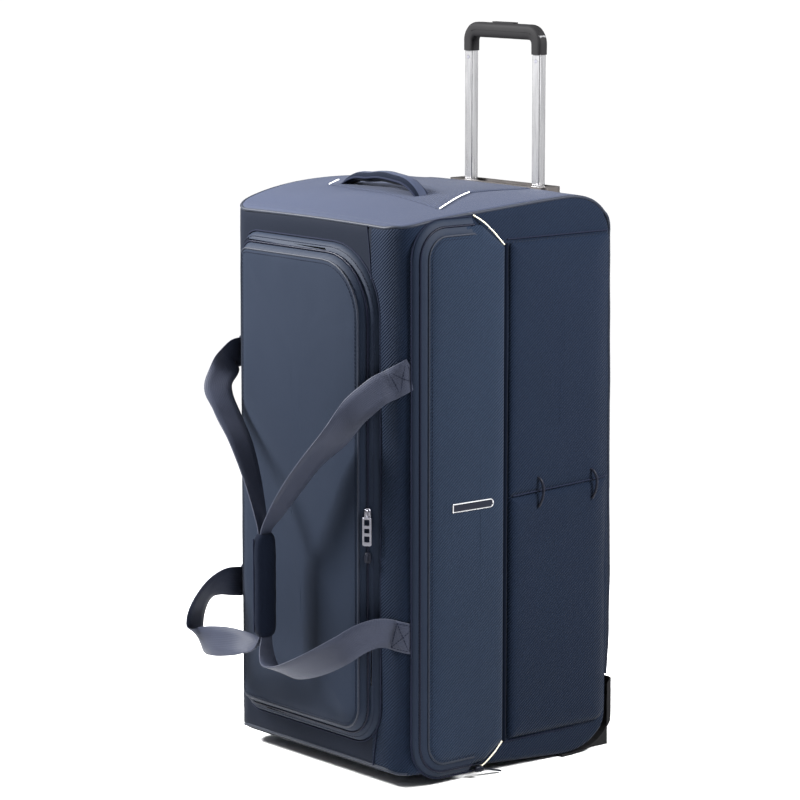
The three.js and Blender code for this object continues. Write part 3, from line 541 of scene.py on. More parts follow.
def body_shell():
    """The bag's walls and ends in one skin, with holes for the lid, the wheels and the grip."""
    rings = []
    for inset in (150, 110, 75, 48, 30, 18, 11):
        rings.append(body_ring(inset, 0, -1))
    turns = [math.radians(a) for a in (90, 66, 44, 22, 0)]
    for a in turns:
        rings.append(body_ring(EDGE_R * (1 - math.cos(a)), EDGE_R * (1 - math.sin(a)), -1))
    low, high, steps = rings[-1], body_ring(0, EDGE_R, 1), 84
    for k in range(1, steps):
        rings.append([tuple(Vector(a).lerp(Vector(b), k / steps)) for a, b in zip(low, high)])
    wall_rings = len(rings) + 2
    for a in reversed(turns):
        rings.append(body_ring(EDGE_R * (1 - math.cos(a)), EDGE_R * (1 - math.sin(a)), 1))
    for inset in (9, 12, 16, 21, 28, 36, 46, 58, 72, 88, 106, 126, 148, 168):
        rings.append(body_ring(inset, 0, 1))
    points, faces = loft([[soften(p) for p in ring] for ring in rings])
    cloth = [2 if i // len(rings[0]) >= wall_rings else cloth_at(points, f) for i, f in enumerate(faces)]
    obj = new_mesh("bag_shell", points, faces, ["twill", "front", "top", "lining"], cloth, 60)
    configure(obj.modifiers.new("Wall", "SOLIDIFY"), thickness=WALL * MM, offset=-1, material_offset=3)
    bake(obj)
    cut(obj, [well_box("left"), well_box("right"), recess_box()])
    cut_with(obj, [[(x, y, z) for x, z in outline(LID, LID_LEDGE)]
                   for y in (-HALF_D - 9, -HALF_D + 2 * WALL + 4)])
    tidy_mesh(obj.data, 60)
    attach(obj, "bag", ("top_end_panel", "bottom_end_panel", "lid_border", "right_side_panel",
                        "left_side_panel", "back_panel"))


def gathers(x, y):
    """Height of the slow folds on the top end."""
    return 1.3 * ripple((x, y, 0), 60, 7.0)


def soften(p):
    """Slack cloth: slow swells on the walls, and small puckers where the top is gathered."""
    x, y, z = p
    swell = 1.6 * ripple(p, 170, 1.0) + 0.5 * ripple(p, 45, 4.0)
    out = Vector((x / HALF_W, y / HALF_D, 0))
    top = max(0.0, (z - TOP_FRONT + 30) / 40)
    middle = 1 - max(abs(x / HALF_W), abs(y / HALF_D))
    lift = min(top, 1) * (gathers(x, y) * min(1, 5 * middle))
    side = Vector((round(out.x ** 9, 3), round(out.y ** 9, 3), 0))
    seat = float(np.interp(z, (96, 150, 300, 720), (0.2, 1, 0.8, 0))) * max(0, out.y) ** 6
    return (x + side.x * (swell + 2.5 * seat), y + side.y * swell + 3.5 * seat, z + lift)


def cloth_at(points, face):
    """The cloth of a wall's face: 1 on the flat front as far as its strip seam, 0 elsewhere."""
    middle = sum((Vector(points[i]) for i in face), Vector()) / len(face)
    return 1 if middle.y < -HALF_D + 12 and middle.x < STRIP_SEAM else 0


def well_box(side):
    """The room round a wheel."""
    low, high = extent(f"wheel_tyre_{side}")
    room = Vector((WELL_ROOM, 0, 0))
    low, high = low - room, high + room
    return ((low.x, low.y - WELL_ROOM, -20), (high.x, HALF_D + 30, high.z + WELL_ROOM))


def recess_box():
    """The hole that the trolley's grip sinks into."""
    low, high = extent("trolley_grip")
    return ((low.x - 4.8, low.y - 4.6, 700), (high.x + 4.8, high.y + 4.6, 900))


def edge_points(height):
    """The piped edge from the back of the left side, across the front, to the back of the right."""
    line = []
    r = FRONT_R - PIPING_INSET
    for side in (-1, 1):
        run = [(side * (HALF_W - PIPING_INSET), y)
               for y in np.linspace(HALF_D - BACK_R, -HALF_D + FRONT_R, 50)]
        for k in range(1, 12):
            a = math.pi / 2 * k / 12
            run.append((side * (HALF_W - FRONT_R + r * math.cos(a)),
                        -HALF_D + FRONT_R - r * math.sin(a)))
        run.append((side * (HALF_W - FRONT_R), -HALF_D + PIPING_INSET))
        line.append(run)
    middle = np.linspace(-HALF_W + FRONT_R, HALF_W - FRONT_R, 30)[1:-1]
    across = [(x, -HALF_D + PIPING_INSET) for x in middle]
    plan = line[0] + across + line[1][::-1]
    return [(x, y, height(x, y)) for x, y in plan]


def edge_piping():
    """Piping round both ends and down the back corners, and the plain seams of the walls."""
    top = edge_points(lambda x, y: top_z(x, y) - 2.4)
    r = BACK_R + 0.5
    left, right = [], []
    for side, leg in ((-1, left), (1, right)):
        for a in np.linspace(0, math.pi / 4, 7)[1:]:
            x = side * (HALF_W - BACK_R + r * math.cos(a))
            y = HALF_D - BACK_R + r * math.sin(a)
            leg.append((x, y, top_z(x, y) - 3))
        x, y, z = leg[-1]
        leg += [soften((x, y, h)) for h in np.linspace(z - 8, 104, 60)]
    run = even(left[::-1] + top + right, 5)
    cord("top_end_piping_cord", [run], 2.3, "piping", nodes=("top_end_piping",))
    bottom = edge_points(lambda x, y: bottom_z(y) + 3)
    keep = [p for p in bottom if p[1] < 92 and not (p[0] > 0 and p[1] > -168)]
    cord("bottom_end_piping_cord", [even(keep, 5)], 2.3, "piping", nodes=("bottom_end_piping",))
    x = HALF_W - BACK_R + (BACK_R + 0.3) * math.cos(0.35)
    y = HALF_D - BACK_R + (BACK_R + 0.3) * math.sin(0.35)
    seams = [[(side * x, y, z) for z in np.linspace(110, 690, 60)] for side in (-1, 1)]
    cord("back_seams", seams, 0.8, "thread")
    ends = (((116, 744, 0.2), (121, 712, 0.4), (125, 669, 0.5)),
            ((136, 84, 0.5), (132, 60, 0.4), (126, 27, 0)))
    cord("front_strip_seams", [through([on_front(*p) for p in end], 20) for end in ends], 0.9, "thread")


# ---- the lid ----
LID_COIL = (9.5, 10.4)  # inset and height of the zip's coil on the lid's gusset
HINGE_ROOM = 6  # where the zip stops, from the lid's fixed side
COIL_TEETH = (1.0, 0.72)  # how a coil's thickness alternates along it


def lid_zip_path(inset, height, spacing=3):
    """The zip's line: from the hinge side along the bottom, up the free side, back along the top."""
    ring = outline(LID, inset, spacing)
    start = max(range(len(ring)), key=lambda k: -ring[k][0] * 10 - abs(ring[k][1] - 380) / 100)
    ring = ring[start:] + ring[:start]
    first = next(k for k, (x, z) in enumerate(ring) if z < 200 and x > LID[0][0] + HINGE_ROOM)
    last = max(k for k, (x, z) in enumerate(ring) if z > 600 and x > LID[0][0] + HINGE_ROOM)
    return [on_front(x, z, height) for x, z in ring[first:last + 1]]


def zip_tape(name, path, section):
    """The raised tape along a zip: path gives its line at each (inset, height) of the section."""
    rows = [path(inset, height, 8) for inset, height in section]
    return new_mesh(name, *loft(list(zip(*rows))), ["tape"])


def lid_pieces():
    """The padded lid with its welt, and the zip that stands round it on three sides."""
    profile = [(34, 13), (16, 12), (12.2, 10.6), (11.2, 11.4), (13.2, 14.2), (16.2, 17.2),
               (17.6, 18.2), (19.6, 20.2), (24, 21.6), (32, 22.6), (46, 23.6), (64, 24.4),
               (86, 25), (112, 25.4), (134, 25.6)]

    def slack(x, z, inset, height):
        if inset < 18:
            return height
        inner = min(1, (inset - 18) / 14)
        folds = 1.6 * ripple((x, 0, z * 0.55), 85, 3.0) + 0.5 * ripple((x, 0, z), 28, 8.0)
        sag = -1.6 * math.exp(-((z - 640) / 60) ** 2) + 1.4 * math.exp(-((z - 150) / 90) ** 2)
        return height + inner * (folds + sag)

    lid = pad("lid_panel_pad", LID, profile, on_front, ["lining", "tape", "smooth"], shape=slack)
    attach(lid, "lid", ("lid_panel",))
    welt = [on_front(x, z, 19.6) for x, z in outline(LID, 18.4, 5)]
    cord("lid_welt", [welt], 1.5, "piping", "lid", closed=True)
    inner = [on_front(x, z, 21.6) for x, z in outline(LID, 23, 3)]
    cord("lid_stitches", dashes(inner, closed=True), STITCH_R, "thread", "lid")

    section = [(-2.5, 0.2), (-1.4, 2.6), (1.6, 5.4), (5.2, 8.0), (8.2, 9.8), (8.2, 8.6), (5.0, 6.6),
               (1.6, 3.8), (0, 0.2)]
    attach(zip_tape("lid_zip_tape", lid_zip_path, section), "bag", ("lid_zip_chain",))
    coil = even(lid_zip_path(*LID_COIL), 1.1)
    cord("lid_zip_coil", [coil], 1.7, "coil", rings=COIL_TEETH)
    cord("lid_tape_stitches", dashes(lid_zip_path(2.6, 6.9)), STITCH_R, "thread")
    cord("lid_border_seam", [lid_zip_path(-4.4, 0.4, 6)], 1.1, "thread")
    lid_hinge()


def lid_hinge():
    """The folded strip that joins the lid's fixed side to the bag."""
    rows = []
    for z in np.linspace(84, 690, 60):
        line = [(-151, 0.3), (-148.5, 3.2), (-144, 6.6), (-139, 9.6), (-135, 11.6),
                (-135.4, 10.4), (-139, 8.4), (-144, 5.2), (-147.4, 2.2), (-149.6, 0.2)]
        rows.append([on_front(x, z, h + 0.5 * ripple((x, 0, z), 40, 5.0)) for x, h in line])
    strip = new_mesh("lid_hinge_strip", *loft(rows), ["smooth"])
    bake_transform(strip)


# ---- the zipped side pocket ----
def pocket_path(inset, height, spacing=3):
    """The pocket zip's line: along the bottom, up the front and along the top, open at the back."""
    ring = outline(POCKET, inset, spacing)
    start = min(range(len(ring)), key=lambda k: abs(ring[k][1] - 380) + abs(ring[k][0] - DOOR_BACK))
    ring = ring[start:] + ring[:start]
    keep = [(y, z) for y, z in ring if not (y > -66 and 10 < z < 752)]
    return [on_side(y, z, height) for y, z in keep]


def pocket_pieces():
    """The padded door of the side pocket with its welt and badge, and its zip."""
    profile = [(40, 5), (16, 4.6), (9.4, 5.4), (8.4, 6.6), (12, 8.0), (16.4, 9.4), (18, 9.2),
               (20.4, 10.6), (24, 12.2), (29, 13.2), (36, 13.9), (46, 14.3), (58, 14.5)]
    open_sides = [(Vector(DOOR[i][:2]), Vector(DOOR[i + 1][:2])) for i in (1, 2, 3)]

    def from_back(y, z):
        """Distance from the rolled edges: the two cut corners and the back."""
        return min((b - a).normalized().cross(Vector((y, z)) - a) for a, b in open_sides)

    def slack(y, z, inset, height):
        rolled = 1.2
        if height > 6.5:
            rolled = float(np.interp(inset, (8.4, 10, 12, 16.4, 20.4, 24, 29, 36, 58),
                                     (2, 5, 7.5, 10.5, 12, 12.9, 13.5, 14, 14.5)))
        roll = min(1, max(0.0, (inset + 16 - from_back(y, z)) / 12))
        folds = min(1, max(0, inset - 19) / 12) * (1 - 0.8 * max(0, inset - 36) / 22)
        crease = 1.5 * ripple((0, y, z * 0.5), 70, 2.0) + 0.5 * ripple((0, y, z), 24, 6.0)
        return height + (rolled - height) * roll + folds * crease

    # the door's face takes the pocket twill, which is the side's twill with painted light
    door = pad("pocket_door_pad", DOOR, profile, on_side, ["lining", "tape", "pocket"], shape=slack)
    for face in door.data.polygons:
        y, z = ((face.center - place((0, 0, 0))) / MM).yz
        if face.material_index == 1 and from_back(y, z) < 26:
            face.material_index = 2
    attach(door, "pocket_door", ("pocket_door",))
    cord("pocket_welt", [even(pocket_path(18.6, 10.0), 4)], 1.5, "piping", "pocket_door")
    cord("pocket_stitches", dashes(pocket_path(23, 11.9)), STITCH_R, "thread", "pocket_door")

    section = [(-2.2, 0.2), (-1, 2.0), (2, 4.0), (5.4, 5.6), (5.4, 4.6), (2, 3.0), (0, 0.2)]
    attach(zip_tape("pocket_zip_tape", pocket_path, section), "bag", ("pocket_gusset",))
    coil = even(pocket_path(6.9, 6.2), 1.1)
    cord("pocket_zip_coil", [coil], 1.5, "coil", nodes=("pocket_zip_chain",), rings=COIL_TEETH)
    cord("pocket_border_seam", [even(pocket_path(-3.4, 0.4), 5)], 1.0, "thread")
    badge()


def badge():
    """A plain name plate: chrome rim with a rounded back end and a dark enamel field."""
    low, high = extent("door_badge")
    corners = [(low.y, low.z, 1.5), (high.y, low.z, 5.8), (high.y, high.z, 5.8), (low.y, high.z, 1.5)]
    base = 14.2
    rim = [(0, base), (0, base + 1.5), (0.6, base + 2.0), (1.3, base + 2.0), (1.7, base + 1.2)]
    plate = pad("door_badge_plate", corners, rim, on_side, ["chrome", "enamel"], 6)
    plate.data.polygons[-1].material_index = 1
    attach(plate, "pocket_door", ("door_badge",))


# ---- rear part of the side ----
def rear_pieces():
    """The panel above and the slip pocket below, the pocket's bound edge and its two lash loops."""
    upper = [(REAR_FRONT, SLIP_SEAM - 6, 4), (REAR_BACK, SLIP_SEAM - 6, 4),
             (REAR_BACK, 715, 6), (REAR_FRONT, 715, 6)]
    slip = [(REAR_FRONT, 44, 8), (REAR_BACK, 44, 20), (REAR_BACK, SLIP_SEAM + 3, 3),
            (REAR_FRONT, SLIP_SEAM - 5, 3)]

    def rear_slack(seed, back_fall):
        def slack(y, z, inset, height):
            fall = min(1, max(0.0, (REAR_BACK + 0.4 - y)) / back_fall)
            folds = min(1, inset / 10) * (1.2 * ripple((0, y, z * 0.6), 75, seed)
                                          + 0.4 * ripple((0, y, z), 22, seed + 3))
            pucker = 0.9 * math.exp(-abs(z - SLIP_SEAM) / 18) * ripple((0, y, 0), 13, seed)
            return 0.4 + (height - 0.4) * math.sin(fall * math.pi / 2) + (folds + pucker) * fall
        return slack

    insets = (8, 0, 0.3, 1.6, 4.5, 9, 16, 28, 48, 86)
    skin = zip(insets, (0.3, 0.3, 2.2, 4.0, 5.6, 6.6, 7.2, 7.6, 7.9, 8))
    panel = pad("rear_upper_pad", upper, skin, on_side, ["twill"], shape=rear_slack(11.0, 30))
    attach(panel, "bag", ("rear_upper_panel",))
    skin = zip(insets, (0.3, 0.3, 3.0, 5.2, 7.4, 8.6, 9.2, 9.6, 9.9, 10))
    pocket = pad("slip_pocket_pad", slip, skin, on_side, ["twill"], shape=rear_slack(15.0, 26))
    attach(pocket, "bag", ("slip_pocket_panel",))
    rim = [on_side(y, SLIP_SEAM - 4 + 8 * (y - REAR_FRONT) / (REAR_BACK - REAR_FRONT),
                   6.8 * math.sin(min(1, (REAR_BACK + 0.4 - y) / 26) * math.pi / 2) + 1)
           for y in np.linspace(REAR_FRONT + 3, REAR_BACK - 2, 60)]
    cord("slip_pocket_binding", [rim], 0.9, "binding")
    for name, y in (("front", 46), ("rear", 143)):
        node = f"lash_loop_{name}"
        loop = ((0, 397, 4.5), (2, 394, 11), (4, 384, 15), (3, 370, 15), (1, 361, 12.5), (0, 357, 10.5))
        line = through([on_side(y + dy, z, h) for dy, z, h in loop], 40)
        cord(f"{node}_cord", [line], 1.9, "enamel", nodes=(node,))
    cream_piping()


def cream_piping():
    """Pale piping on the cut corners of the pocket, and a near-black tube in the gap behind the door:
    painted shade there.
    """
    corners = (((-64, 755, 1.5), (-50, 746, 5), (-32, 731, 6), (-12, 713, 4)),
               ((-12, 43, 4), (-26, 31, 5.5), (-42, 19, 5), (-56, 9.5, 2)))
    runs = [through([on_side(*p) for p in corner], 24) for corner in corners]
    cord("pocket_corner_piping", runs, 1.0, "cream")
    # a near-black tube along the gap behind the door: painted shade, half sunk into the wall
    groove_shade = [on_side((DOOR_BACK + REAR_FRONT) / 2, z, -1.2) for z in np.linspace(42, 714, 90)]
    cord("pocket_back_painted_shade", [groove_shade], 4.4, "groove_shade")
    band = [on_side(y, 719, 0.6) for y in np.linspace(-4, 176, 40)]
    foot = [on_side(y, 40, 0.5) for y in np.linspace(-6, 120, 40)]
    cord("side_band_seams", [band, foot], 1.0, "thread")


# ---- web handles ----
LEAVE_ANGLE = 0.46  # where a strap leaves the rounded corner
STITCH_ANGLE = 1.27  # where its sewn end stops, short of the pocket zip
MIDDLE_ANGLE = (LEAVE_ANGLE + STITCH_ANGLE) / 2
WEB_WIDTH = 40
WEB_LIFT = 1.6
# height of the middle of each sewn end, and how steeply the strap climbs over it
SEWN = {"near_upper": (1, 550, math.radians(29)), "near_lower": (1, 208, math.radians(-13)),
        "far_upper": (-1, 548, 0), "far_lower": (-1, 228, 0)}


def on_corner(side, angle, z, lift):
    """A point off a rounded front corner, angle round from the front."""
    r = FRONT_R + lift
    return (side * (HALF_W - FRONT_R + r * math.sin(angle)), -HALF_D + FRONT_R - r * math.cos(angle), z)


def sewn_point(end, angle, across, lift):
    """A point on a sewn end: angle round the corner, across from the strap's middle line."""
    side, z, tilt = SEWN[end]
    reach = FRONT_R + WEB_LIFT
    height = z + (angle - MIDDLE_ANGLE) * reach * math.tan(tilt) + across * math.cos(tilt)
    return on_corner(side, angle - across * math.sin(tilt) / reach, height, lift)


def sewn_end(end, up):
    """Stations of a strap's sewn end. up says which edge of the strap is above."""
    stations = []
    for a in np.linspace(STITCH_ANGLE, LEAVE_ANGLE, 6):
        low, high = (Vector(sewn_point(end, a, h, WEB_LIFT)) for h in (-WEB_WIDTH / 2, WEB_WIDTH / 2))
        middle = sewn_point(end, a, 0, WEB_LIFT)
        stations.append((*middle, *((high - low).normalized() * up * WEB_WIDTH)))
    return stations


def in_grip(x):
    """Stations of a folded strap inside the padded cuff."""
    return [(x, GRIP["y"], z, 0, FOLDED_WEB, 0)
            for z in (GRIP["top"], GRIP["top"] - 16, 260, GRIP["bottom"] + 16, GRIP["bottom"])]


def handle_pieces():
    """Both web straps, their stitches and the cuff. A station is a point and the way across."""
    near = [
        *sewn_end("near_upper", -1),
        (154, -197, 535, 16, 5, -36), (144, -207, 524, 19, 8, -34), (129, -218, 507, 20, 14, -31),
        (106, -234, 470, 10, 34, -18), (75, -248, 435, 1, 37, -10), (43, -256, 396, 2, 32, -9),
        (13, -261, 357, 2, 24, -6),
        *in_grip(GRIP["x"] + 2.7),
        (-4, -264, 170, 0, 24, -4), (10, -268, 153, 0, 32, -10), (39, -268, 150, 3, 34, -20),
        (88, -262, 167, 8, 25, -30), (131, -246, 192, 8, 12, -37), (147, -224, 208, 0, 3, -40),
        (156, -203, 214, -5, 0, -40),
        *sewn_end("near_lower", -1)[::-1],
    ]
    far = [
        *sewn_end("far_upper", -1),
        (-158, -202, 546, 0, 0, -40), (-155, -215, 532, 14, 2, -37), (-151, -232, 507, 28, 18, -18),
        (-120, -240, 476, 14, 35, -8), (-79, -248, 441, 5, 37, -7), (-44, -256, 398, 1, 30, -5),
        (-21, -261, 357, 0, 22, -4),
        *in_grip(GRIP["x"] - 2.7),
        (-20, -264, 176, -3, 22, 8), (-46, -267, 173, -4, 22, 24), (-84, -268, 169, -4, 12, 37),
        (-124, -268, 163, 0, 2, 40), (-150, -267, 160, 3, -16, 36), (-163, -265, 169, 8, -32, 22),
        (-168, -261, 188, 12, -36, 13), (-165, -253, 210, 16, -32, 17), (-160, -240, 226, 18, -20, 30),
        (-156, -221, 233, 10, -8, 38), (-157, -201, 231, 0, 0, 40),
        *sewn_end("far_lower", 1)[::-1],
    ]
    strap = ribbon("near_web_strap", near)
    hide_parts("near_handle_strap", "near_anchor_upper", "near_anchor_lower")
    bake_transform(strap)
    strap = ribbon("far_web_strap", far)
    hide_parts("far_handle_strap", "far_anchor_upper", "far_anchor_lower")
    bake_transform(strap)

    lines = []
    for end in SEWN:
        lines += box_and_cross(end)
    cord("handle_box_stitches", lines, 0.45, "thread")
    grip_wrap()


def box_and_cross(end):
    """A stitched box with a cross, on the sewn end of a strap."""
    start, stop, half = LEAVE_ANGLE + 0.1, STITCH_ANGLE - 0.06, WEB_WIDTH / 2 - 3

    def at(s, t):
        return sewn_point(end, start + (stop - start) * s, half * t, WEB_LIFT + 1.1)

    steps = np.linspace(0, 1, 12)
    ends = ((0, -1, 1, -1), (0, 1, 1, 1), (0, -1, 0, 1), (1, -1, 1, 1), (0, -1, 1, 1), (0, 1, 1, -1))
    lines = [[at(s0 + (s1 - s0) * k, t0 + (t1 - t0) * k) for k in steps] for s0, t0, s1, t1 in ends]
    return [run for line in lines for run in dashes(line, 2.6, 1.4)]


def grip_wrap():
    """The padded cuff that holds both straps together, with its seam."""
    rings = []
    low, high = GRIP["bottom"] + 2, GRIP["top"] - 2
    for z in np.linspace(low, high, 46):
        end = min(z - low, high - z)
        swell = 1 - 0.34 * math.exp(-end / 4.5)
        ring = []
        for k in range(36):
            a = 2 * math.pi * k / 36
            u, v = squared(a, 0.8)
            bulge = 1 + 0.05 * ripple((math.cos(a) * 9, math.sin(a) * 9, z), 22, 2.0)
            ring.append((GRIP["x"] + u * 11 * swell * bulge, GRIP["y"] + v * 15.5 * swell * bulge, z))
        rings.append(ring)
    cuff = new_mesh("grip_wrap_pad", *loft(rings), ["wrap"])
    attach(cuff, "far_handle", ("handle_grip_wrap",))
    seam = [(GRIP["x"] - 4, GRIP["y"] - 15.6, z) for z in np.linspace(low + 6, high - 6, 30)]
    cord("grip_wrap_seam", [seam], 0.9, "binding", "far_handle")


# ---- top carry handle ----
def carry_handle():
    """A padded arch with piped edges, sewn down at both ends."""
    low, high = extent("top_carry_handle")
    y, reach, rise = (low.y + high.y) / 2, high.x, high.z
    shape = ((-1, -4, 0), (-0.88, 3, 0), (-0.62, 11, 0), (-0.3, -6, 1), (0, -3.5, 1),
             (0.32, -5, 1), (0.62, 12, 0), (0.84, 4, 0), (0.97, -5, 0))
    arch = through([(reach * u, y, h + (rise if on_high else top_z(reach * u, y)))
                    for u, h, on_high in shape], 90)
    rings, edges = [], ([], [])
    for i, p in enumerate(arch):
        ahead = Vector(arch[min(i + 1, 89)]) - Vector(arch[max(i - 1, 0)])
        up = ahead.cross(Vector((0, 1, 0))).normalized()
        t = abs(i / 44.5 - 1)
        half, thick = 12.5 - 1.5 * t, 8.2 - 6.0 * t ** 3
        ring = []
        for k in range(24):
            a = 2 * math.pi * k / 24
            s, n = math.cos(a), math.sin(a)
            pull = 1 + 0.05 * ripple((p[0], s * 20, n * 20), 18, 3.0)
            height = n * thick * (0.75 if n < 0 else 1.0) * pull
            ring.append(Vector(p) + Vector((0, half * squared(a, 0.7)[0], 0)) + up * height)
        rings.append(ring)
        for edge, side in zip(edges, (-1, 1)):
            edge.append(Vector(p) + Vector((0, side * (half + 0.3), 0)))
    points, faces = loft(rings)
    cloth = [1 if 4 <= i % 24 <= 7 else 0 for i in range(len(faces))]
    handle = new_mesh("carry_handle_pad", points, faces, ["wrap", "top"], cloth)
    attach(handle, "bag", ("top_carry_handle",))
    cord("carry_handle_piping", edges, 1.5, "binding")


def top_patch():
    """The ribbed patch behind the carry handle, and the two white lines that bound it."""
    corners = [(-96, -82, 3), (148, -92, 3), (98, 2, 3), (90, 120, 6), (-118, 120, 6), (-117, -49, 3)]

    def on_top(x, y, h):
        return (x, y, top_z(x, y) + gathers(x, y) + h)

    profile = ((3, 0.2), (0, 0.2), (0.2, 0.8), (1.4, 1.2), (12, 1.4), (30, 1.5), (50, 1.5), (72, 1.5))
    patch = pad("top_ribbed_patch", corners, profile, on_top, ["top_twill"])
    cut(patch, [recess_box()])
    tidy_mesh(patch.data)
    attach(patch, "bag")
    edges = ((148, -92, 98, 2), (-96, -82, -117, -49))
    lines = [[on_top(x, y, 1.6) for x, y in zip(np.linspace(x0, x1, 20), np.linspace(y0, y1, 20))]
             for x0, y0, x1, y1 in edges]
    cord("top_white_lines", lines, 0.75, "white")


# ---- zip sliders ----
# shares of a slider's length, width and height along its body, and of length and height along its bridge
SLIDER_BODY = [(-0.5, 0.55, 0.5), (-0.46, 0.8, 0.85), (-0.25, 1, 1), (0.1, 1, 1), (0.36, 0.86, 0.95),
               (0.5, 0.5, 0.5)]
SLIDER_BRIDGE = [(-0.36, 0.4), (-0.3, 0.8), (-0.1, 0.98), (0.15, 0.98), (0.34, 0.8), (0.4, 0.4)]


def slider(name, body, node, centre, along, out, size, material):
    """A slider: a rounded body over the coil with a raised bridge."""
    length, width, height = size
    across = along.cross(out)
    section = [squared(2 * math.pi * k / 16, 0.5) for k in range(16)]
    rings = []
    for s, w, h in SLIDER_BODY:
        rings.append([centre + along * (s * length) + across * (c * w * width / 2)
                      + out * (n * h * height / 2) for c, n in section])
    shell = new_mesh(f"{name}_body", *loft(rings), [material])
    attach(shell, body, (node,))
    bridge = [centre + along * (length * s) + out * (height * h) for s, h in SLIDER_BRIDGE]
    cord(f"{name}_bridge", [even(bridge, 0.8)], 1.1, material, body)


def pull_plate(name, body, node, at, length, width, windows, material):
    """A flat pull with rounded ends and square windows. at(u, v, h) gives a point, v above its top."""
    half = width / 2
    corners = [(-half, -length, 2.6), (half, -length, 2.6), (half, 0, 2.2), (-half, 0, 2.2)]
    rings = [[at(u, v, h) for u, v in outline(corners, inset, 3)]
             for inset, h in ((0.5, -1.1), (0, -0.7), (0, 0.7), (0.5, 1.1))]
    plate = new_mesh(name, *loft(rings), [material])
    side = width * 0.3
    for start, end in windows:
        box = [(-side, -end, 0.9), (side, -end, 0.9), (side, -start, 0.9), (-side, -start, 0.9)]
        cut_with(plate, [[at(u, v, h) for u, v in outline(box, 0, 3)] for h in (-4, 4)])
    tidy_mesh(plate.data)
    attach(plate, body, (node,))


def sliders():
    """The lid's two sliders and the pull on the upper one, then the pocket's slider and pull."""
    inset, height = LID_COIL
    x = LID[1][0] - inset
    out = Vector((0.62, -0.78, 0))
    up = Vector((0, 0, 1))
    for level, material in (("upper", "steel"), ("lower", "enamel")):
        node = f"lid_slider_{level}"
        low, high = extent(node)
        centre = Vector(on_front(x, (low.z + high.z) / 2, height)) + out * 1.6
        slider(f"lid_{level}_slider", f"slider_{level}", node, centre, up, out, (14, 9, 5.5), material)
    low, high = extent("lid_pull_tab")
    top = Vector(on_front(x, high.z + 4, height)) + out * 7.0
    pull_plate("lid_pull_plate", "pull_upper", "lid_pull_tab",
               lambda u, v, h: top + up.cross(out) * u + up * v + out * h,
               high.z - low.z + 4, 12, ((3, 11), (15, 21), (25, 33)), "steel")

    low, high = extent("pocket_slider")
    right, back = Vector((1, 0, 0)), Vector((0, 1, 0))
    centre = (low + high) / 2 + right * 3
    slider("pocket_zip_slider", "pocket_slider", "pocket_slider", centre, back, right, (13, 8, 6),
           "enamel")
    low, high = extent("pocket_pull")
    start = Vector(((low.x + high.x) / 2, low.y + 1, high.z - 1.6))
    end = Vector((start.x, high.y, low.z + 1.4))
    lift = (start - end).normalized()
    pull_plate("pocket_pull_tab", "pocket_pull", "pocket_pull",
               lambda u, v, h: start + right * u + lift * v + lift.cross(right) * h,
               (end - start).length, 6, (), "enamel")


# ---- trolley grip ----
def trolley_grip():
    """The moulded grip: one rounded section swept round the arch and down both legs."""
    low, high = extent("trolley_grip")
    y, foot, crest = (low.y + high.y) / 2, low.z, high.z
    leg_low, leg_high = extent("inner_tube_right")
    middle = (leg_low.x + leg_high.x) / 2
    thick, bar, bend, depth = high.x - middle, 10.5, 16, 9
    path = [(-middle, foot), (-middle, foot + 6), (-middle, crest - 26)]
    for k in range(1, 10):
        a = math.pi / 2 * k / 10
        path.append((-middle + bend - bend * math.cos(a), crest - bar - bend + bend * math.sin(a)))
    path += [(x, crest - bar) for x in np.linspace(-middle + bend, 0, 12)]
    path += [(-x, z) for x, z in path[-2::-1]]
    section = [squared(2 * math.pi * k / 24, 0.6) for k in range(24)]
    rings = []
    for i, (x, z) in enumerate(path):
        before, after = path[max(i - 1, 0)], path[min(i + 1, len(path) - 1)]
        ahead = Vector((after[0] - before[0], 0, after[1] - before[1])).normalized()
        up = Vector((-ahead.z, 0, ahead.x))
        on_bar = min(1, max(0, 1 - (abs(x) - middle + 26) / 22))
        wide = thick + (bar - thick) * min(1, max(0, (z - crest + 40) / 30))
        deep = depth - 0.5 * (1 - on_bar)
        rings.append([Vector((x, y + c * deep, z)) + up * (s * wide) for c, s in section])
    grip = new_mesh("trolley_grip_moulding", *loft(rings), ["plastic"], sharp=50)
    attach(grip, "trolley", ("trolley_grip",))
    line = [(x, y - depth, z) for x, z in path if abs(x) < middle - 8]
    cord("grip_parting_line", [line], 0.35, "plastic", "trolley")


# ---- CAD parts that stay, with their finishes ----
SINGLE = {"inner_board": "board", "trolley_bezel": "bezel", "bottom_bracket": "plastic",
          "release_button": "plastic"}
PAIRED = {"guide_tube": "tube", "inner_tube": "tube", "tube_rivet": "steel", "wheel_housing": "plastic",
          "wheel_tyre": "tyre", "wheel_hub": "plastic", "wheel_bearing": "steel", "wheel_axle": "steel",
          "release_rod": "steel", "lock_pin": "steel", "lock_shoe": "plastic", "front_foot": "plastic"}
SOFTENED = {"trolley_bezel": 0.8, "wheel_housing": 1.2, "wheel_tyre": 2.0, "front_foot": 1.5,
            "release_button": 0.6, "inner_tube": 0.4}  # rounding of the edges, in millimetres


def finish_cad_parts():
    """Finishes the CAD parts that no soft piece replaces."""
    for part, key in SINGLE.items():
        finish(part, part, key)
    for part, key in PAIRED.items():
        for side in ("left", "right"):
            finish(f"{part}_{side}", part, key)


def finish(node, part, key):
    """Gives a CAD part its material and, where it shows, softer edges."""
    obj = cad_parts[node]
    obj.data.materials.clear()
    obj.data.materials.append(CAST[key])
    if part in SOFTENED:
        configure(obj.modifiers.new("Edges", "BEVEL"), width=SOFTENED[part] * MM, segments=2,
                  limit_method="ANGLE", angle_limit=math.radians(35))


# ---- camera, floor and light ----
AZIMUTH, ELEVATION, DISTANCE = math.radians(50.5), math.radians(9.19), 4.553
AIM_HEIGHT, AIM_LEFT = 0.4823, 0.0283  # where the camera looks, in metres
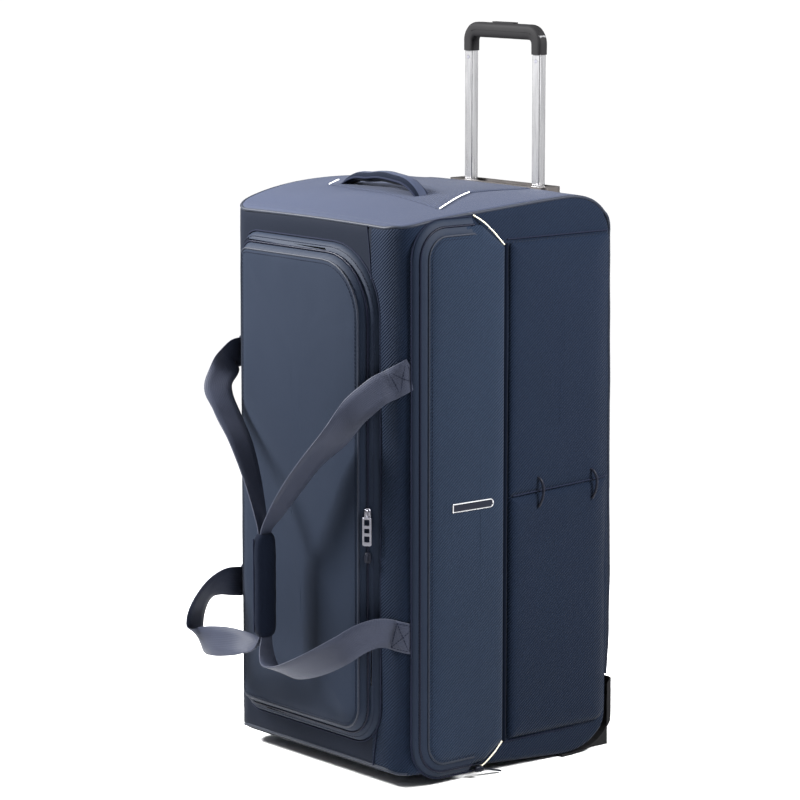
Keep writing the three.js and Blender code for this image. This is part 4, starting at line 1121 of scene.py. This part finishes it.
# each lamp's place in metres, its watts and its width
LAMPS = {"Key": ((-1.2, -1.35, 1.75), 60, 0.7), "Side": ((1.6, 0.7, 1.6), 30, 0.8)}
LAMP_AIM = Vector((0, 0, 0.65))
LAMP_SPREAD = math.radians(75)
FLOOR_HALF = 30  # half the floor's width, in metres


def studio():
    """The camera at the photograph's angle, a pale floor, a soft sky and two soft lamps."""
    right = Vector((math.cos(AZIMUTH), math.sin(AZIMUTH), 0))
    target = Vector((CENTRE.x, CENTRE.y, AIM_HEIGHT)) - right * AIM_LEFT
    back = Vector((math.sin(AZIMUTH) * math.cos(ELEVATION), -math.cos(AZIMUTH) * math.cos(ELEVATION),
                   math.sin(ELEVATION)))
    data = configure(bpy.data.cameras.new("Camera"), lens=150, sensor_width=36, clip_end=50)
    camera = link(bpy.data.objects.new("Camera", data))
    camera.location = target + back * DISTANCE
    camera.rotation_euler = (-back).to_track_quat("-Z", "Y").to_euler()
    bpy.context.scene.camera = camera

    floor_mesh = bpy.data.meshes.new("floor")
    corners = [(x * FLOOR_HALF, y * FLOOR_HALF, 0) for x, y in ((-1, -1), (1, -1), (1, 1), (-1, 1))]
    floor_mesh.from_pydata(corners, [], [(0, 1, 2, 3)])
    floor = link(bpy.data.objects.new("floor", floor_mesh))
    pale = Shader("FloorPaper", Roughness=0.9, Specular_IOR_Level=0.1)
    pale.paint((0.86, 0.86, 0.86), (0.88, 0.88, 0.88), pale.noise(3))
    floor_mesh.materials.append(pale.material)

    sky()
    bpy.context.scene.view_settings.view_transform = "Standard"
    for name, (spot, power, width) in LAMPS.items():
        light = configure(bpy.data.lights.new(name, "AREA"), energy=power, size=width,
                          spread=LAMP_SPREAD)
        lamp = link(bpy.data.objects.new(name, light))
        lamp.location = spot
        lamp.rotation_euler = (LAMP_AIM - Vector(spot)).to_track_quat("-Z", "Y").to_euler()


def sky():
    """A soft sky: bright overhead and dimmer towards the horizon."""
    world = bpy.data.worlds.new("World")
    world.use_nodes = True
    tree = world.node_tree
    where = tree.nodes.new("ShaderNodeTexCoord").outputs["Generated"]
    split = tree.nodes.new("ShaderNodeSeparateXYZ")
    tree.links.new(where, split.inputs[0])
    rise = configure(tree.nodes.new("ShaderNodeMapRange"), interpolation_type="SMOOTHSTEP")
    for key, value in (("From Min", 0.2), ("From Max", 0.95), ("To Min", 0.05), ("To Max", 1.85)):
        rise.inputs[key].default_value = value
    tree.links.new(split.outputs["Z"], rise.inputs["Value"])
    back = tree.nodes["Background"]
    back.inputs["Color"].default_value = (1, 1, 1, 1)
    tree.links.new(rise.outputs[0], back.inputs["Strength"])
    bpy.context.scene.world = world


studio()
body_shell()
edge_piping()
lid_pieces()
pocket_pieces()
rear_pieces()
handle_pieces()
carry_handle()
top_patch()
sliders()
trolley_grip()
finish_cad_parts()
